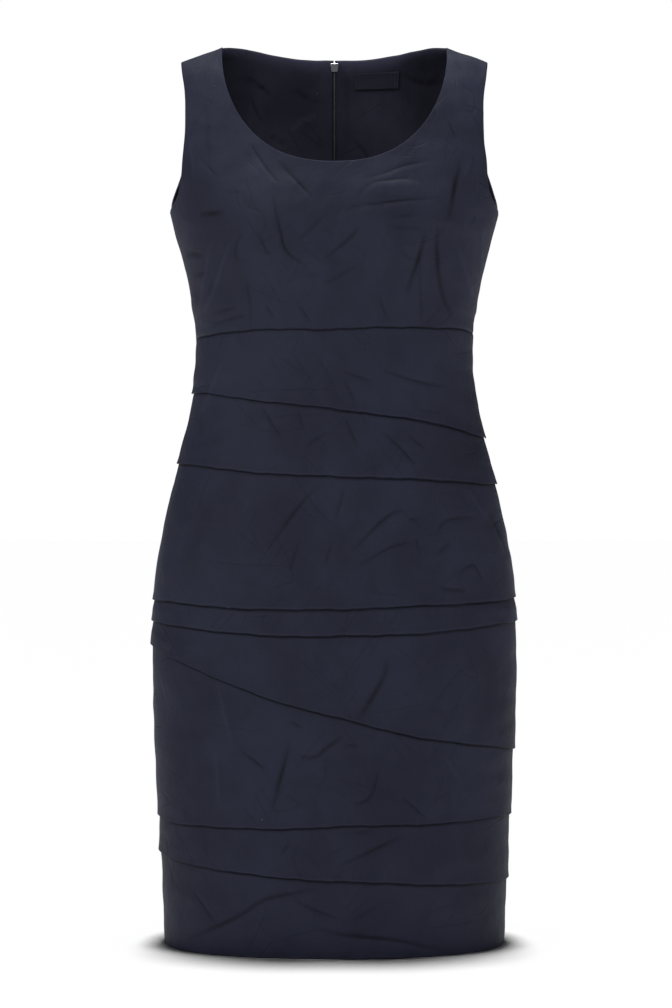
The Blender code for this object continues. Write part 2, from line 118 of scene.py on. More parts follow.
# The form, level by level: half width, depth to the front, depth to the back.
SECTIONS = np.array(
    [
        (20.0, 190.0, 74.0, 84.0),
        (-60.0, 188.0, 86.0, 103.0),
        (-120.0, 185.0, 99.0, 110.0),
        (-160.0, 180.0, 106.0, 109.0),
        (-180.0, 176.0, 108.0, 107.0),
        (-227.0, 163.2, 109.0, 98.0),
        (-257.0, 155.8, 107.0, 92.0),
        (-287.0, 150.9, 104.0, 87.0),
        (-325.0, 147.7, 101.0, 83.0),
        (-363.0, 149.2, 99.0, 82.0),
        (-393.0, 153.7, 99.0, 86.0),
        (-453.0, 167.5, 102.0, 103.0),
        (-513.0, 181.5, 105.0, 121.0),
        (-574.0, 190.8, 108.0, 132.0),
        (-634.0, 194.2, 111.0, 136.0),
        (-694.0, 193.6, 113.0, 133.0),
        (-754.0, 191.0, 115.0, 127.0),
        (-845.0, 186.0, 120.0, 119.0),
        (-960.0, 181.8, 124.0, 118.0),
    ],
    dtype=[("z", float), ("half", float), ("front", float), ("back", float)],
)

# Half width between the armhole edges, from the shoulder tip to the underarm.
ARMHOLES = np.array(
    [
        (-18.0, 164.0, 164.0),
        (-74.0, 157.0, 160.0),
        (-106.0, 157.5, 163.0),
        (-130.0, 160.0, 167.5),
        (-152.0, 162.0, 173.2),
        (-167.0, 165.8, 176.2),
        (-180.0, 176.0, 176.0),
    ],
    dtype=[("z", float), ("front", float), ("back", float)],
)

# Creases on the front of the bodice. Each is a line of places (x, z), read off the front. Its
# reach is half its width, and its rise is above zero for a ridge and below zero for a trough.
BODICE_CREASES = [
    # reach, rise, line
    (20, 2.6, ((-104, -212), (-122, -262))),
    (18, 2.0, ((-122, -262), (-143, -302))),
    (19, -2.8, ((107, -200), (113, -288))),
    (18, 2.4, ((129, -216), (150, -290))),
    (17, -2.0, ((92, -212), (74, -272))),
    (17, 2.0, ((20, -174), (98, -160))),
    (18, -2.0, ((-86, -120), (-30, -174))),
    (2.6, -2.0, ((-87, -117), (-74, -138), (-56, -162))),
    (2.7, -2.2, ((-59, -135), (-40, -156), (-21, -176))),
    (2.7, -1.5, ((29, -155), (50, -150), (72, -141), (102, -134))),
    (2.9, -1.5, ((20, -178), (37, -161), (55, -157), (71, -155), (92, -156))),
    (2.9, -1.7, ((6, -190), (24, -184), (63, -179), (108, -174))),
    (2.7, -1.6, ((-38, -221), (-9, -193))),
    (3.5, -2.2, ((-14, -242), (17, -216), (27, -203))),
    (2.6, -2.2, ((-64, -172), (-56, -208), (-49, -231), (-25, -249))),
    (2.1, -1.4, ((-78, -211), (-69, -232), (-58, -230))),
    (2.4, -1.6, ((-97, -208), (-102, -234), (-90, -239))),
    (5.6, -2.5, ((132, -132), (118, -196))),
    (7.2, -3.6, ((-141, -189), (-114, -188))),
    (2.7, -2.2, ((-158, -225), (-135, -231))),
    (2.6, 3.1, ((-126, -214), (-133, -240), (-141, -280))),
    (2.7, 3.2, ((-104, -212), (-121, -256), (-136, -292))),
    (3.2, -2.3, ((-128, -303), (-91, -295))),
    (3.2, -2.0, ((-122, -291), (-100, -286))),
    (2.9, -1.8, ((-149, -251), (-134, -247))),
    (5.6, -2.5, ((95, -207), (88, -238), (74, -276))),
    (5.6, -2.2, ((107, -200), (110, -255), (122, -296))),
    (2.6, 3.2, ((127, -216), (138, -250), (150, -290))),
    (2.4, 2.7, ((156, -192), (154, -255))),
    (2.7, -1.1, ((51, -206), (93, -207))),
    (3.2, -1.4, ((45, -275), (56, -302))),
    (2.7, -1.4, ((-37, -285), (-25, -304))),
    (2.4, -1.3, ((-71, -286), (-62, -299))),
    (2.7, 1.4, ((135, -150), (142, -132))),
    (3.2, 1.4, ((-151, -110), (-146, -150))),
    (2.7, -1.4, ((-140, -130), (-120, -152))),
    (2.4, -1.3, ((60, -196), (88, -193))),
    (3.2, -1.4, ((-10, -265), (22, -246))),
    (2.9, -1.3, ((118, -90), (128, -112))),
]
DARTS = [
    # reach, rise, line
    (1.5, -1.0, ((-92, -256), (-88, -280), (-87, -311))),
    (1.5, -1.0, ((90, -230), (90, -270), (91, -309))),
    (8.0, -1.0, ((-92, -272), (-87, -330))),
    (8.0, -1.0, ((90, -250), (91, -330))),
]


def smooth(table, column, at, key="z"):
    """Reads a column at some places of the key, on a smooth curve through the table's rows."""
    order = np.argsort(table[key])
    keys = table[key][order]
    values = table[column][order]
    slopes = np.gradient(values, keys)
    low = np.clip(np.searchsorted(keys, at) - 1, 0, len(keys) - 2)
    span = keys[low + 1] - keys[low]
    t = np.clip((at - keys[low]) / span, 0.0, 1.0)
    start = (1 + 2 * t) * (1 - t) ** 2 * values[low] + t * (1 - t) ** 2 * span * slopes[low]
    end = t * t * (3 - 2 * t) * values[low + 1] + t * t * (t - 1) * span * slopes[low + 1]
    return start + end


def ridge(x):
    """Height of the shoulder line, highest at the middle of the neck and level with the origin beside it."""
    level = math.hypot(LEVEL_HALF, RIDGE_ROUND)
    fall = SHOULDER_DROP / (math.hypot(SHOULDER_HALF, RIDGE_ROUND) - level)
    return fall * (level - np.hypot(x, RIDGE_ROUND)) - RIDGE_SETTLE


def full_depth(x, z, side):
    """Depth of the form at a place, before the shoulders round it off."""
    share = np.clip(np.abs(x) / smooth(SECTIONS, "half", z), 0.0, 1.0)
    depth = smooth(SECTIONS, "front" if side == FRONT else "back", z)
    if side == FRONT:
        bust = np.exp(-(((np.abs(x) - BUST_X) / BUST_WIDTH) ** 2) - ((z - BUST_Z) / BUST_HEIGHT) ** 2)
        depth = depth + BUST_RISE * bust * (1 - share**2)
    return depth * (1 - share**BODY_POWER) ** (1 / BODY_POWER)


def surface_depth(x, z, side):
    """Depth of the cloth at a place, with the shoulders' rounding."""
    climb = np.clip((z - ridge(x) + ROLL) / ROLL, 0.0, 1.0)
    return full_depth(x, z, side) * np.sqrt(1 - climb**2)


def along_cloth(x, z):
    """Distance down the cloth from the shoulder line to a height, below zero."""
    drop = ridge(x) - z
    rounded = -ROLL * np.arccos(np.clip(1 - drop / ROLL, 0.0, 1.0))
    return np.where(drop < ROLL, rounded, -(ROLL * math.pi / 2 + drop - ROLL))


def from_cloth(x, q, side):
    """The point on the form at a place across and a distance down the cloth."""
    angle = np.clip(-q / ROLL, 0.0, math.pi / 2)
    z = ridge(x) - ROLL * (1 - np.cos(angle)) + np.minimum(q + ROLL * math.pi / 2, 0.0)
    y = side * full_depth(x, z, side) * np.sin(angle)
    return np.stack([x, y, z], axis=-1)


def outward(points, side):
    """Unit direction out of the form at its points."""
    step = 0.5
    x, y, z = points[..., 0], points[..., 1], points[..., 2]

    def depth_squared(across, height):
        return surface_depth(across, height, side) ** 2

    slope_x = (depth_squared(x - step, z) - depth_squared(x + step, z)) / (2 * step)
    slope_z = (depth_squared(x, z - step) - depth_squared(x, z + step)) / (2 * step)
    normals = np.stack([slope_x, 2 * y, slope_z], axis=-1)
    return normals / np.linalg.norm(normals, axis=-1, keepdims=True)


def rounded_line(line, steps=6):
    """A smooth line of points through a few given ones."""
    line = np.array(line, float)
    ends = np.concatenate([[2 * line[0] - line[1]], line, [2 * line[-1] - line[-2]]])
    points = []
    for a, b, c, d in zip(ends, ends[1:], ends[2:], ends[3:]):
        for t in np.arange(steps) / steps:
            swing = 2 * a - 5 * b + 4 * c - d
            bend = 3 * b - a - 3 * c + d
            points.append(b + ((c - a) * t + swing * t**2 + bend * t**3) / 2)
    points.append(line[-1])
    return np.array(points)


def creased(x, z, creases):
    """How far the creases lift the cloth, and their painted shading: above zero painted shade, below it
    painted highlight.

    Each is a soft line with a fainter opposite fold beside it, and fades out at its ends.
    """
    lift = np.zeros(x.shape)
    painted_shading = np.zeros(x.shape)
    for reach, rise, ends in creases:
        line = rounded_line(ends)
        low = line.min(axis=0) - 4 * reach
        high = line.max(axis=0) + 4 * reach
        near = (x > low[0]) & (x < high[0]) & (z > low[1]) & (z < high[1])
        px, pz = x[near], z[near]
        runs = np.diff(line, axis=0)
        lengths = np.hypot(runs[:, 0], runs[:, 1])
        passed = np.concatenate([[0.0], np.cumsum(lengths)])
        nearest = np.full(px.shape, np.inf)
        signed = np.zeros(px.shape)
        along = np.zeros(px.shape)
        for start, run, length, before in zip(line, runs, lengths, passed):
            dx, dz = px - start[0], pz - start[1]
            share = np.clip((dx * run[0] + dz * run[1]) / length**2, 0.0, 1.0)
            away = np.hypot(dx - share * run[0], dz - share * run[1])
            closer = away < nearest
            turn = np.sign(run[0] * dz - run[1] * dx)
            nearest = np.where(closer, away, nearest)
            signed = np.where(closer, turn * away, signed)
            along = np.where(closer, (before + share * length) / passed[-1], along)
        u = signed / reach
        fade = np.sin(np.pi * np.clip(along, 0.0, 1.0)) ** FADE_POWER
        uneven = 1 - UNEVEN + UNEVEN * np.sin(along * passed[-1] / UNEVEN_LENGTH + reach)
        core = np.exp(-(np.sqrt(u**2 + CREASE_ROUND**2) ** CREASE_POWER))
        lip = np.exp(-((u + LIP_PLACE) ** 2) / LIP_SPREAD)
        share = SHARP_RISE if reach < SHARP_REACH else 1.0
        lift[near] += rise * share * fade * uneven * (core - LIP_RISE * lip)
        # Narrow creases also get painted shade along a trough, and a fainter painted highlight along a
        # ridge.
        if reach < SHARP_REACH:
            painted_line_reach = PAINTED_LINE_REACH * max(1.0, abs(rise) / PAINTED_LINE_RISE, reach / WIDE_REACH)
            painted_line_profile = np.exp(-((u * reach / painted_line_reach) ** 2))
            painted_shading[near] -= np.clip(rise / PAINTED_LINE_RISE, -1.0, RIDGE_PAINTED_HIGHLIGHT) * fade * uneven * painted_line_profile
    return lift, painted_shading


def soft_waves(x, z, seed):
    """A gentle unevenness that all worn cloth has, from a few crossing waves."""
    draw = np.random.default_rng(seed)
    lift = np.zeros(x.shape)
    for _ in range(WAVE_COUNT):
        length = draw.uniform(*WAVE_LENGTHS)
        heading = draw.uniform(0.0, math.pi)
        shift = draw.uniform(0.0, 2 * math.pi)
        across = x * math.cos(heading) + z * math.sin(heading)
        along = x * math.sin(heading) - z * math.cos(heading)
        swell = np.sin(2 * math.pi * along / (2.7 * length) + 2 * shift)
        lift += np.sin(2 * math.pi * across / length + shift + swell) * WAVE_RISE / math.sqrt(WAVE_COUNT)
    return lift


def seam_sink(away):
    """How far cloth dips into a sewn seam, at a distance from it."""
    return -SEAM_DEPTH * np.exp(-((away / SEAM_REACH) ** 2))


def laid(points, side, offset, creases):
    """Cloth that lies on the form: the middle of its wall, the direction out of it, and its creases' painted
    shading.
    """
    out = outward(points, side)
    x, z = points[..., 0], points[..., 2]
    lift, painted_shading = creased(x, z, creases)
    rise = lift + soft_waves(x, z, WAVE_SEED + side)
    middle = points + out * (offset + rise)[..., None]
    middle[..., 1] += side * SEAM_GAP / 2
    return middle, out, painted_shading


def row_shares(length, step, fine_top, fine_foot):
    """Shares of a length for rows a step apart, with a few closer rows for a rounded edge at an end."""
    closer = np.array(EDGE_ROWS) / length
    first = EDGE_BAND / length if fine_top else 0.0
    last = 1 - EDGE_BAND / length if fine_foot else 1.0
    shares = [np.linspace(first, last, max(round((last - first) * length / step), 1) + 1)]
    if fine_top:
        shares.insert(0, closer)
    if fine_foot:
        shares.append(1 - closer[::-1])
    return np.concatenate(shares)


def shares_across(columns):
    """Shares of the half width, spaced evenly round the body."""
    return np.sin(np.linspace(-math.pi / 2, math.pi / 2, columns + 1))


def spread(line, shares):
    """Points at some shares of the length of a line of points."""
    lengths = np.concatenate([[0.0], np.cumsum(np.linalg.norm(np.diff(line, axis=0), axis=-1))])
    wanted = shares * lengths[-1]
    return np.stack([np.interp(wanted, lengths, line[:, axis]) for axis in range(line.shape[1])], axis=-1)


def neck_line(side, columns):
    """Top edge of a front or back, from shoulder tip to shoulder tip, as x and distance down the cloth."""
    turns = np.linspace(0.0, math.pi / 2, CURVE_POINTS)
    x = NECK_HALF * np.cos(turns)
    if side == FRONT:
        top = ridge(NECK_HALF)
        z = top - (FRONT_NECK_DEPTH + top) * (1 - (x / NECK_HALF) ** NECK_POWER) ** (1 / NECK_FALL_POWER)
        q = along_cloth(x, z)
    else:
        q = -BACK_NECK_RUN * (1 - (x / NECK_HALF) ** 2) ** BACK_NECK_POWER
    half = columns // 2
    strap_columns = round(half * STRAP_SHARE)
    neck = spread(np.stack([x, q], axis=-1), np.linspace(0.0, 1.0, half - strap_columns + 1))
    strap_x = np.linspace(SHOULDER_HALF, NECK_HALF, strap_columns + 1)
    strap = np.stack([strap_x, np.zeros(strap_columns + 1)], axis=-1)
    right = np.concatenate([strap[:-1], neck])
    left = right[:-1] * (-1, 1)
    return np.concatenate([left, right[::-1]])


def armhole_line(side, shares):
    """Armhole edge from the shoulder tip to the underarm, as x and distance down the cloth."""
    z = np.linspace(ridge(SHOULDER_HALF), UNDERARM_Z, CURVE_POINTS)
    x = smooth(ARMHOLES, "front" if side == FRONT else "back", z)
    q = along_cloth(x, z)
    return spread(np.column_stack([from_cloth(x, q, side), x, q]), shares)[:, 3:]


def upper_grid(side, columns, shares):
    """The part above the underarm: a patch between the armholes, the neck and the underarm level."""
    count = columns + 1
    top = neck_line(side, columns)
    low_x = smooth(SECTIONS, "half", np.full(count, UNDERARM_Z)) * shares_across(columns)
    low = np.stack([low_x, along_cloth(low_x, np.full(count, UNDERARM_Z))], axis=-1)
    right = armhole_line(side, shares)
    left = right * (-1, 1)
    v = (right[:, 1] / right[-1, 1])[:, None, None]
    u = ((low_x - low_x[0]) / (low_x[-1] - low_x[0]))[None, :, None]
    blend = (1 - v) * top + v * low + (1 - u) * left[:, None] + u * right[:, None]
    corners = (1 - v) * ((1 - u) * top[0] + u * top[-1]) + v * ((1 - u) * low[0] + u * low[-1])
    flat = blend - corners
    return from_cloth(flat[..., 0], flat[..., 1], side)


def level_rows(heights, side):
    """Rows of points on the form, where heights has a row of heights for each."""
    x = smooth(SECTIONS, "half", heights) * shares_across(heights.shape[1] - 1)
    return np.stack([x, side * surface_depth(x, heights, side), heights], axis=-1)


def placed(name, data):
    """A new object of the scene that shows this data."""
    made = bpy.data.objects.new(name, data)
    bpy.context.scene.collection.objects.link(made)
    return made


def cloth_shell(name, middle, out, wall, materials, side, painted_shading=None):
    """A thin closed piece of cloth through a grid of points, with softly rounded edges."""
    rows, columns = middle.shape[:2]
    index = np.arange(rows * columns).reshape(rows, columns)
    border = np.concatenate([index[0, :-1], index[:-1, -1], index[-1, :0:-1], index[:0:-1, 0]])
    outer = (middle + out * wall / 2).reshape(-1, 3)
    inner = (middle - out * wall / 2).reshape(-1, 3)

    away = np.zeros(middle.shape)
    away[0] += middle[0] - middle[1]
    away[-1] += middle[-1] - middle[-2]
    away[:, 0] += middle[:, 0] - middle[:, 1]
    away[:, -1] += middle[:, -1] - middle[:, -2]
    away = away.reshape(-1, 3)[border]
    away /= np.linalg.norm(away, axis=-1, keepdims=True)
    rim = middle.reshape(-1, 3)[border] + away * wall * RIM_SHARE

    count = rows * columns
    quads = np.stack([index[:-1, :-1], index[1:, :-1], index[1:, 1:], index[:-1, 1:]], axis=-1)
    quads = quads.reshape(-1, 4)
    after = np.roll(border, -1)
    ring = 2 * count + np.arange(len(border))
    ring_after = np.roll(ring, -1)
    outer_rim = np.stack([border, after, ring_after, ring], axis=-1)
    inner_rim = np.stack([ring, ring_after, after + count, border + count], axis=-1)
    faces = np.concatenate([quads, quads[:, ::-1] + count, outer_rim, inner_rim])
    if side == BACK:
        faces = faces[:, ::-1]

    mesh = bpy.data.meshes.new(name)
    mesh.from_pydata(np.concatenate([outer, inner, rim]) * MM, [], faces)
    for material in materials:
        mesh.materials.append(material)
    linings = np.zeros(len(faces), int)
    linings[len(quads) : 2 * len(quads)] = len(materials) - 1
    mesh.polygons.foreach_set("material_index", linings)
    mesh.shade_smooth()

    steps_across = np.linalg.norm(np.diff(middle, axis=1), axis=-1)
    steps_down = np.linalg.norm(np.diff(middle, axis=0), axis=-1)
    across = np.concatenate([np.zeros((rows, 1)), np.cumsum(steps_across, axis=1)], axis=1)
    across -= across[:, columns // 2 : columns // 2 + 1]
    down = np.concatenate([np.zeros((1, columns)), np.cumsum(steps_down, axis=0)], axis=0)
    flat = np.stack([across, -down], axis=-1).reshape(-1, 2) * MM
    flat = np.concatenate([flat, flat, flat[border]])
    corners = np.empty(len(mesh.loops), int)
    mesh.loops.foreach_get("vertex_index", corners)
    mesh.uv_layers.new(name="cloth").data.foreach_set("uv", flat[corners].ravel())
    # The painted shading is kept as a point attribute, and the cloth's material turns it into painted shade
    # and painted highlight.
    painted_shading_layer = np.zeros(count) if painted_shading is None else painted_shading.ravel()
    painted_shading_layer = np.concatenate([painted_shading_layer, painted_shading_layer, painted_shading_layer[border]]).astype(np.float32)
    mesh.attributes.new(name="painted_shading_layer", type="FLOAT", domain="POINT").data.foreach_set("value", painted_shading_layer)

    return placed(name, mesh)


class Shade:
    """A socket among a material's nodes, on which arithmetic adds Math nodes."""

    def __init__(self, tree, socket=None):
        self.tree = tree
        self.socket = socket

    def node(self, kind, settings, values, output=0):
        """Adds a node with these settings, and values or links for its sockets."""
        made = self.tree.nodes.new("ShaderNode" + kind)
        for name, value in settings.items():
            setattr(made, name, value)
        for name, value in values.items():
            if isinstance(value, Shade):
                self.tree.links.new(value.socket, made.inputs[name])
            else:
                made.inputs[name].default_value = value
        return Shade(self.tree, made.outputs[output])

    def maths(self, operation, *values):
        return self.node("Math", {"operation": operation}, dict(enumerate((self, *values))))

    def __add__(self, other):
        return self.maths("ADD", other)

    def __sub__(self, other):
        return self.maths("SUBTRACT", other)

    def __rsub__(self, other):
        return self.maths("MULTIPLY", -1.0) + other

    def __mul__(self, other):
        return self.maths("MULTIPLY", other)

    __radd__ = __add__
    __rmul__ = __mul__

    def between(self, low, high):
        """0 below low, 1 above high, and a smooth rise from one to the other."""
        return self.node(
            "MapRange",
            {"interpolation_type": "SMOOTHSTEP"},
            {"Value": self, "From Min": low, "From Max": high},
        )

    def tint(self, low, high):
        """A colour from low to high as this goes from 0 to 1."""
        ends = [end if isinstance(end, Shade) else (*end, 1.0) for end in (low, high)]
        return self.node("Mix", {"data_type": "RGBA"}, {0: self, 6: ends[0], 7: ends[1]}, 2)

    def noise(self, place, scale, detail=2.0, stretch=(1.0, 1.0, 1.0)):
        """Soft noise of about this many lumps a metre, closer together where stretch is over 1."""
        scaled = self.node("VectorMath", {"operation": "MULTIPLY"}, {0: place, 1: stretch})
        return self.node("TexNoise", {}, {"Vector": scaled, "Scale": scale, "Detail": detail})


def new_finish(name, roughness, metallic=0.0):
    """A material with one shader: the material, the shader's sockets, and a Shade to build on."""
    made = bpy.data.materials.new(name)
    made.use_nodes = True
    shader = made.node_tree.nodes["Principled BSDF"]
    shader.inputs["Roughness"].default_value = roughness
    shader.inputs["Metallic"].default_value = metallic
    return made, shader.inputs, Shade(made.node_tree)


def connect(value, socket):
    """Drives a shader's socket with a Shade."""
    value.tree.links.new(value.socket, socket)


# Fine crumple lines, in three leanings: the lean in radians, how many a metre, and how wide.
CRUMPLES = [(0.6, 46.0, 0.03), (-0.75, 42.0, 0.03), (1.35, 38.0, 0.026)]
CRUMPLE_STRETCH = (1.0, 0.18, 0.0)
CRUMPLE_PATCHES = (1.0, 0.7, 0.0)
CRUMPLE_SHADE = 0.17
CRUMPLE_RISE = 0.3
PIECE_SHIFT = 3.0
FOLD_DRIFT = 0.045
WARP_SHARE = 0.6
WARP_STRETCH = (14.0, 0.8, 1.0)
WEFT_STRETCH = (0.8, 14.0, 1.0)
WEAVE_RISE = 0.05
SLUB_RISE = 0.22
ROUGHNESS_SWING = 0.25
# How dark the painted shade and how light the painted highlight go, as shares of the dye.
PAINTED_SHADE_SHARE = 0.3
PAINTED_HIGHLIGHT_SHARE = 1.8
LINT = (0.16, 0.17, 0.2)
LINT_SHARE = 0.5
SHEEN_ROUGHNESS = 0.2
SHEEN_TINT = (0.62, 0.66, 0.85, 1.0)


def woven(name, dark, light, roughness, threads, gloss, sheen, crumple):
    """Fine woven cloth: threads each way, slubs, a mottled dye, painted shade in creases and along fine
    crumple lines, painted highlight on ridges and fold edges, and small soft crumples.
    """
    made, sockets, shade = new_finish(name, roughness)
    place = shade.node("TexCoord", {}, {}, "Object")
    lie = shade.node("UVMap", {"uv_map": "cloth"}, {})
    across = shade.node("SeparateXYZ", {}, {0: lie}, "X")
    down = shade.node("SeparateXYZ", {}, {0: lie}, "Y")

    turn = threads * 2 * math.pi
    warp = (across * turn).maths("SINE")
    weft = (down * turn).maths("SINE")
    weave = warp * WARP_SHARE + weft * (1 - WARP_SHARE)
    warp_slubs = shade.noise(lie, 90.0, 2.0, WARP_STRETCH)
    weft_slubs = shade.noise(lie, 90.0, 2.0, WEFT_STRETCH)
    slubs = warp_slubs * 0.55 + weft_slubs * 0.45

    # Each piece has its own crumples, which lie along it and end at its edges.
    shift = shade.node("ObjectInfo", {}, {}, "Random") * PIECE_SHIFT
    on_piece = shade.node("VectorMath", {"operation": "ADD"}, {0: lie, 1: shift})
    lines = 0.0
    for lean, scale, width in CRUMPLES:
        turned = shade.node("VectorRotate", {"rotation_type": "Z_AXIS"}, {"Vector": on_piece, "Angle": lean})
        streak = shade.noise(turned, scale, 0.0, CRUMPLE_STRETCH)
        line = 1 - (streak - 0.5).maths("ABSOLUTE").between(0.0, width)
        patches = shade.noise(turned, 19.0, 1.0, CRUMPLE_PATCHES).between(0.53, 0.66)
        lines = line * patches + lines

    drift = shade.node("TexNoise", {}, {"Vector": place, "Scale": 16.0, "Detail": 3.0}, "Color")
    swayed = {0: drift, 1: (FOLD_DRIFT,) * 3, 2: place}
    drifted = shade.node("VectorMath", {"operation": "MULTIPLY_ADD"}, swayed)
    folds = shade.noise(drifted, 26.0, 3.0, (1.0, 1.0, 0.6))
    rumples = folds * 1.8 + shade.noise(place, 75.0, 3.0) * 0.6 - lines * CRUMPLE_RISE
    relief = shade.node("Bump", {}, {"Strength": 1.0, "Distance": MM, "Height": rumples * crumple})
    threads_rise = weave * WEAVE_RISE + slubs * SLUB_RISE
    grain = {"Strength": 0.5, "Distance": MM, "Height": threads_rise, "Normal": relief}
    connect(shade.node("Bump", {}, grain), sockets["Normal"])

    mottle = shade.noise(place, 9.0, 3.0) * 0.4 + folds * 0.3 + slubs * 0.3
    dye_and_painted_light = mottle.between(0.40, 0.60).tint(dark, light)
    # The dye goes darker as painted shade in creases, seams, under tuck edges and along the fine crumple
    # lines, and lighter as painted highlight on ridges and fold edges.
    painted_shading_layer = shade.node("Attribute", {"attribute_name": "painted_shading_layer"}, {}, "Fac")
    painted_shade_colour = tuple(PAINTED_SHADE_SHARE * part for part in dark)
    painted_highlight_colour = tuple(PAINTED_HIGHLIGHT_SHARE * part for part in light)
    dye_and_painted_light = (painted_shading_layer + lines * (CRUMPLE_SHADE * crumple)).maths("MINIMUM", 1.0).tint(dye_and_painted_light, painted_shade_colour)
    dye_and_painted_light = (painted_shading_layer * -1.0).tint(dye_and_painted_light, painted_highlight_colour)
    specks = shade.node("TexVoronoi", {}, {"Vector": place, "Scale": 70.0, "Randomness": 1.0})
    rare = shade.noise(place, 31.0, 1.0).between(0.66, 0.70)
    lint = (1 - specks.between(0.03, 0.06)) * rare
    connect((lint * LINT_SHARE).tint(dye_and_painted_light, LINT), sockets["Base Color"])
    connect(roughness + (slubs - 0.5) * ROUGHNESS_SWING, sockets["Roughness"])
    sockets["Specular IOR Level"].default_value = gloss
    sockets["Sheen Weight"].default_value = sheen
    sockets["Sheen Roughness"].default_value = SHEEN_ROUGHNESS
    sockets["Sheen Tint"].default_value = SHEEN_TINT
    return made


SATEEN_DARK = (0.0140, 0.0156, 0.0301)
SATEEN_LIGHT = (0.0200, 0.0222, 0.0424)
SATEEN_THREADS = 2600.0
# The wrong side is dyed about three times darker than the face, as painted shade for the dark inside of the
# neck and armholes.
WRONG_SIDE_SHADED_DARK = (0.0045, 0.0045, 0.0075)
WRONG_SIDE_SHADED_LIGHT = (0.0065, 0.0065, 0.0105)
sateen = woven("navy_sateen_face", SATEEN_DARK, SATEEN_LIGHT, 0.6, SATEEN_THREADS, 0.14, 0.06, 1.0)
sateen_wrong_side_shaded = woven(
    "navy_sateen_wrong_side_painted_shade", WRONG_SIDE_SHADED_DARK, WRONG_SIDE_SHADED_LIGHT, 0.8, SATEEN_THREADS, 0.1, 0.0, 1.0
)

FRONT_COLUMNS = 256
ROW_STEP = 2.15
UPPER_LENGTH = 205.0
# Painted shade along seams and just under each tuck edge, and a painted highlight along folded edges.
SEAM_PAINTED_SHADE = 1.2
TUCK_SHADE_AT = 1.2
TUCK_SHADE = 1.3
LIP_PAINTED_HIGHLIGHT = 0.15
EDGE_WAVER = 0.35
UNDER_BUST = (-315, -314, -312, -311, -311, -309, -308, -308, -309)
STATIONS = (-1.0, -0.9, -0.7, -0.35, 0.0, 0.35, 0.7, 0.9, 1.0)
# The waves in a sewn edge: how close they are, the sign of their shift, and their share of the waver.
EDGE_WAVES = ((9.0, 1, 1.0), (23.0, -1, 0.8), (51.0, 1, 0.5))


def edge_height(heights, shares):
    """Height of a seam or tuck edge at shares of the half width, from its heights at the stations.

    Each edge wavers a little, as sewn ones do, and the hem, which is level, does not.
    """
    table = np.array(list(zip(STATIONS, heights)), dtype=[("share", float), ("z", float)])
    start = heights[0]
    waver = sum(np.sin(close * shares + sign * start) * part for close, sign, part in EDGE_WAVES)
    level = len(set(heights)) == 1
    return smooth(table, "z", shares, key="share") + (0.0 if level else EDGE_WAVER) * waver


front_shares = shares_across(FRONT_COLUMNS)
seam_z = edge_height(UNDER_BUST, front_shares)
underarm = np.full(FRONT_COLUMNS + 1, UNDERARM_Z)
bodice_upper = upper_grid(FRONT, FRONT_COLUMNS, row_shares(UPPER_LENGTH, ROW_STEP, True, False))
lower_shares = row_shares(UNDERARM_Z - UNDER_BUST[0], ROW_STEP, False, True)[1:, None]
bodice_lower = level_rows(underarm + (seam_z + SEAM_GAP / 2 - underarm) * lower_shares, FRONT)
bodice_points = np.concatenate([bodice_upper, bodice_lower])
to_seam = bodice_points[..., 2] - seam_z
middle, out, painted_shading = laid(bodice_points, FRONT, seam_sink(to_seam), BODICE_CREASES + DARTS)
# Painted shade along the seam under the bust, and a painted highlight along the top edge at the neck and
# shoulders.
painted_shading += np.exp(-((to_seam / SEAM_PAINTED_SHADE) ** 2))
painted_shading[:2] -= LIP_PAINTED_HIGHLIGHT * 3
bodice = cloth_shell("bodice_cloth", middle, out, CLOTH, (sateen, sateen_wrong_side_shaded), FRONT, painted_shading)
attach(bodice, "dress")
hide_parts("front_bodice")


# ---------------------------------------------------------------------------------------------------
# Midriff and seven skirt tiers, of the same sateen. The midriff is sewn to the bodice under the bust.
# Each tier starts inside the folded edge of the panel above it, so the front steps down in tucks, and
# the last one ends at a turned-up hem.

LAYER_STEP = 1.8
TUCK_OVERLAP = 12.0
EDGE_FLARE = 0.7
EDGES = {
    # heights at the stations, from the left side seam to the right one
    "under_bust": UNDER_BUST,
    "tuck_1": (-374, -375, -380, -387, -393, -400, -409, -417, -422),
    "tuck_2": (-449, -451, -455, -461, -463, -465, -468, -470, -471),
    "tuck_3": (-594, -595, -598, -601, -601, -598, -596, -593, -591),
    "tuck_4": (-616, -618, -623, -628, -628, -627, -622, -618, -616),
    "tuck_5": (-641, -650, -667, -693, -711, -729, -741, -748, -753),
    "tuck_6": (-823, -826, -827, -827, -824, -823, -822, -821, -822),
    "tuck_7": (-861, -865, -870, -876, -880, -883, -887, -889, -890),
    "hem": (HEM_Z,) * 9,
}
PANELS = [
    # name, replaced node, hangs from, upper edge, lower edge, flat size, flat area
    ("midriff_cloth", "front_midriff", "bodice_cloth", "under_bust", "tuck_1", (0.41, 0.125), 0.0352),
    ("tier_1_cloth", "front_tier_1", "midriff_cloth", "tuck_1", "tuck_2", (0.44, 0.09), 0.0348),
    ("tier_2_cloth", "front_tier_2", "tier_1_cloth", "tuck_2", "tuck_3", (0.49, 0.16), 0.0712),
    ("tier_3_cloth", "front_tier_3", "tier_2_cloth", "tuck_3", "tuck_4", (0.50, 0.042), 0.0198),
    ("tier_4_cloth", "front_tier_4", "tier_3_cloth", "tuck_4", "tuck_5", (0.52, 0.16), 0.0484),
    ("tier_5_cloth", "front_tier_5", "tier_4_cloth", "tuck_5", "tuck_6", (0.51, 0.20), 0.0669),
    ("tier_6_cloth", "front_tier_6", "tier_5_cloth", "tuck_6", "tuck_7", (0.50, 0.085), 0.0339),
    ("tier_7_cloth", "front_tier_7", "tier_6_cloth", "tuck_7", "hem", (0.50, 0.115), 0.0471),
]
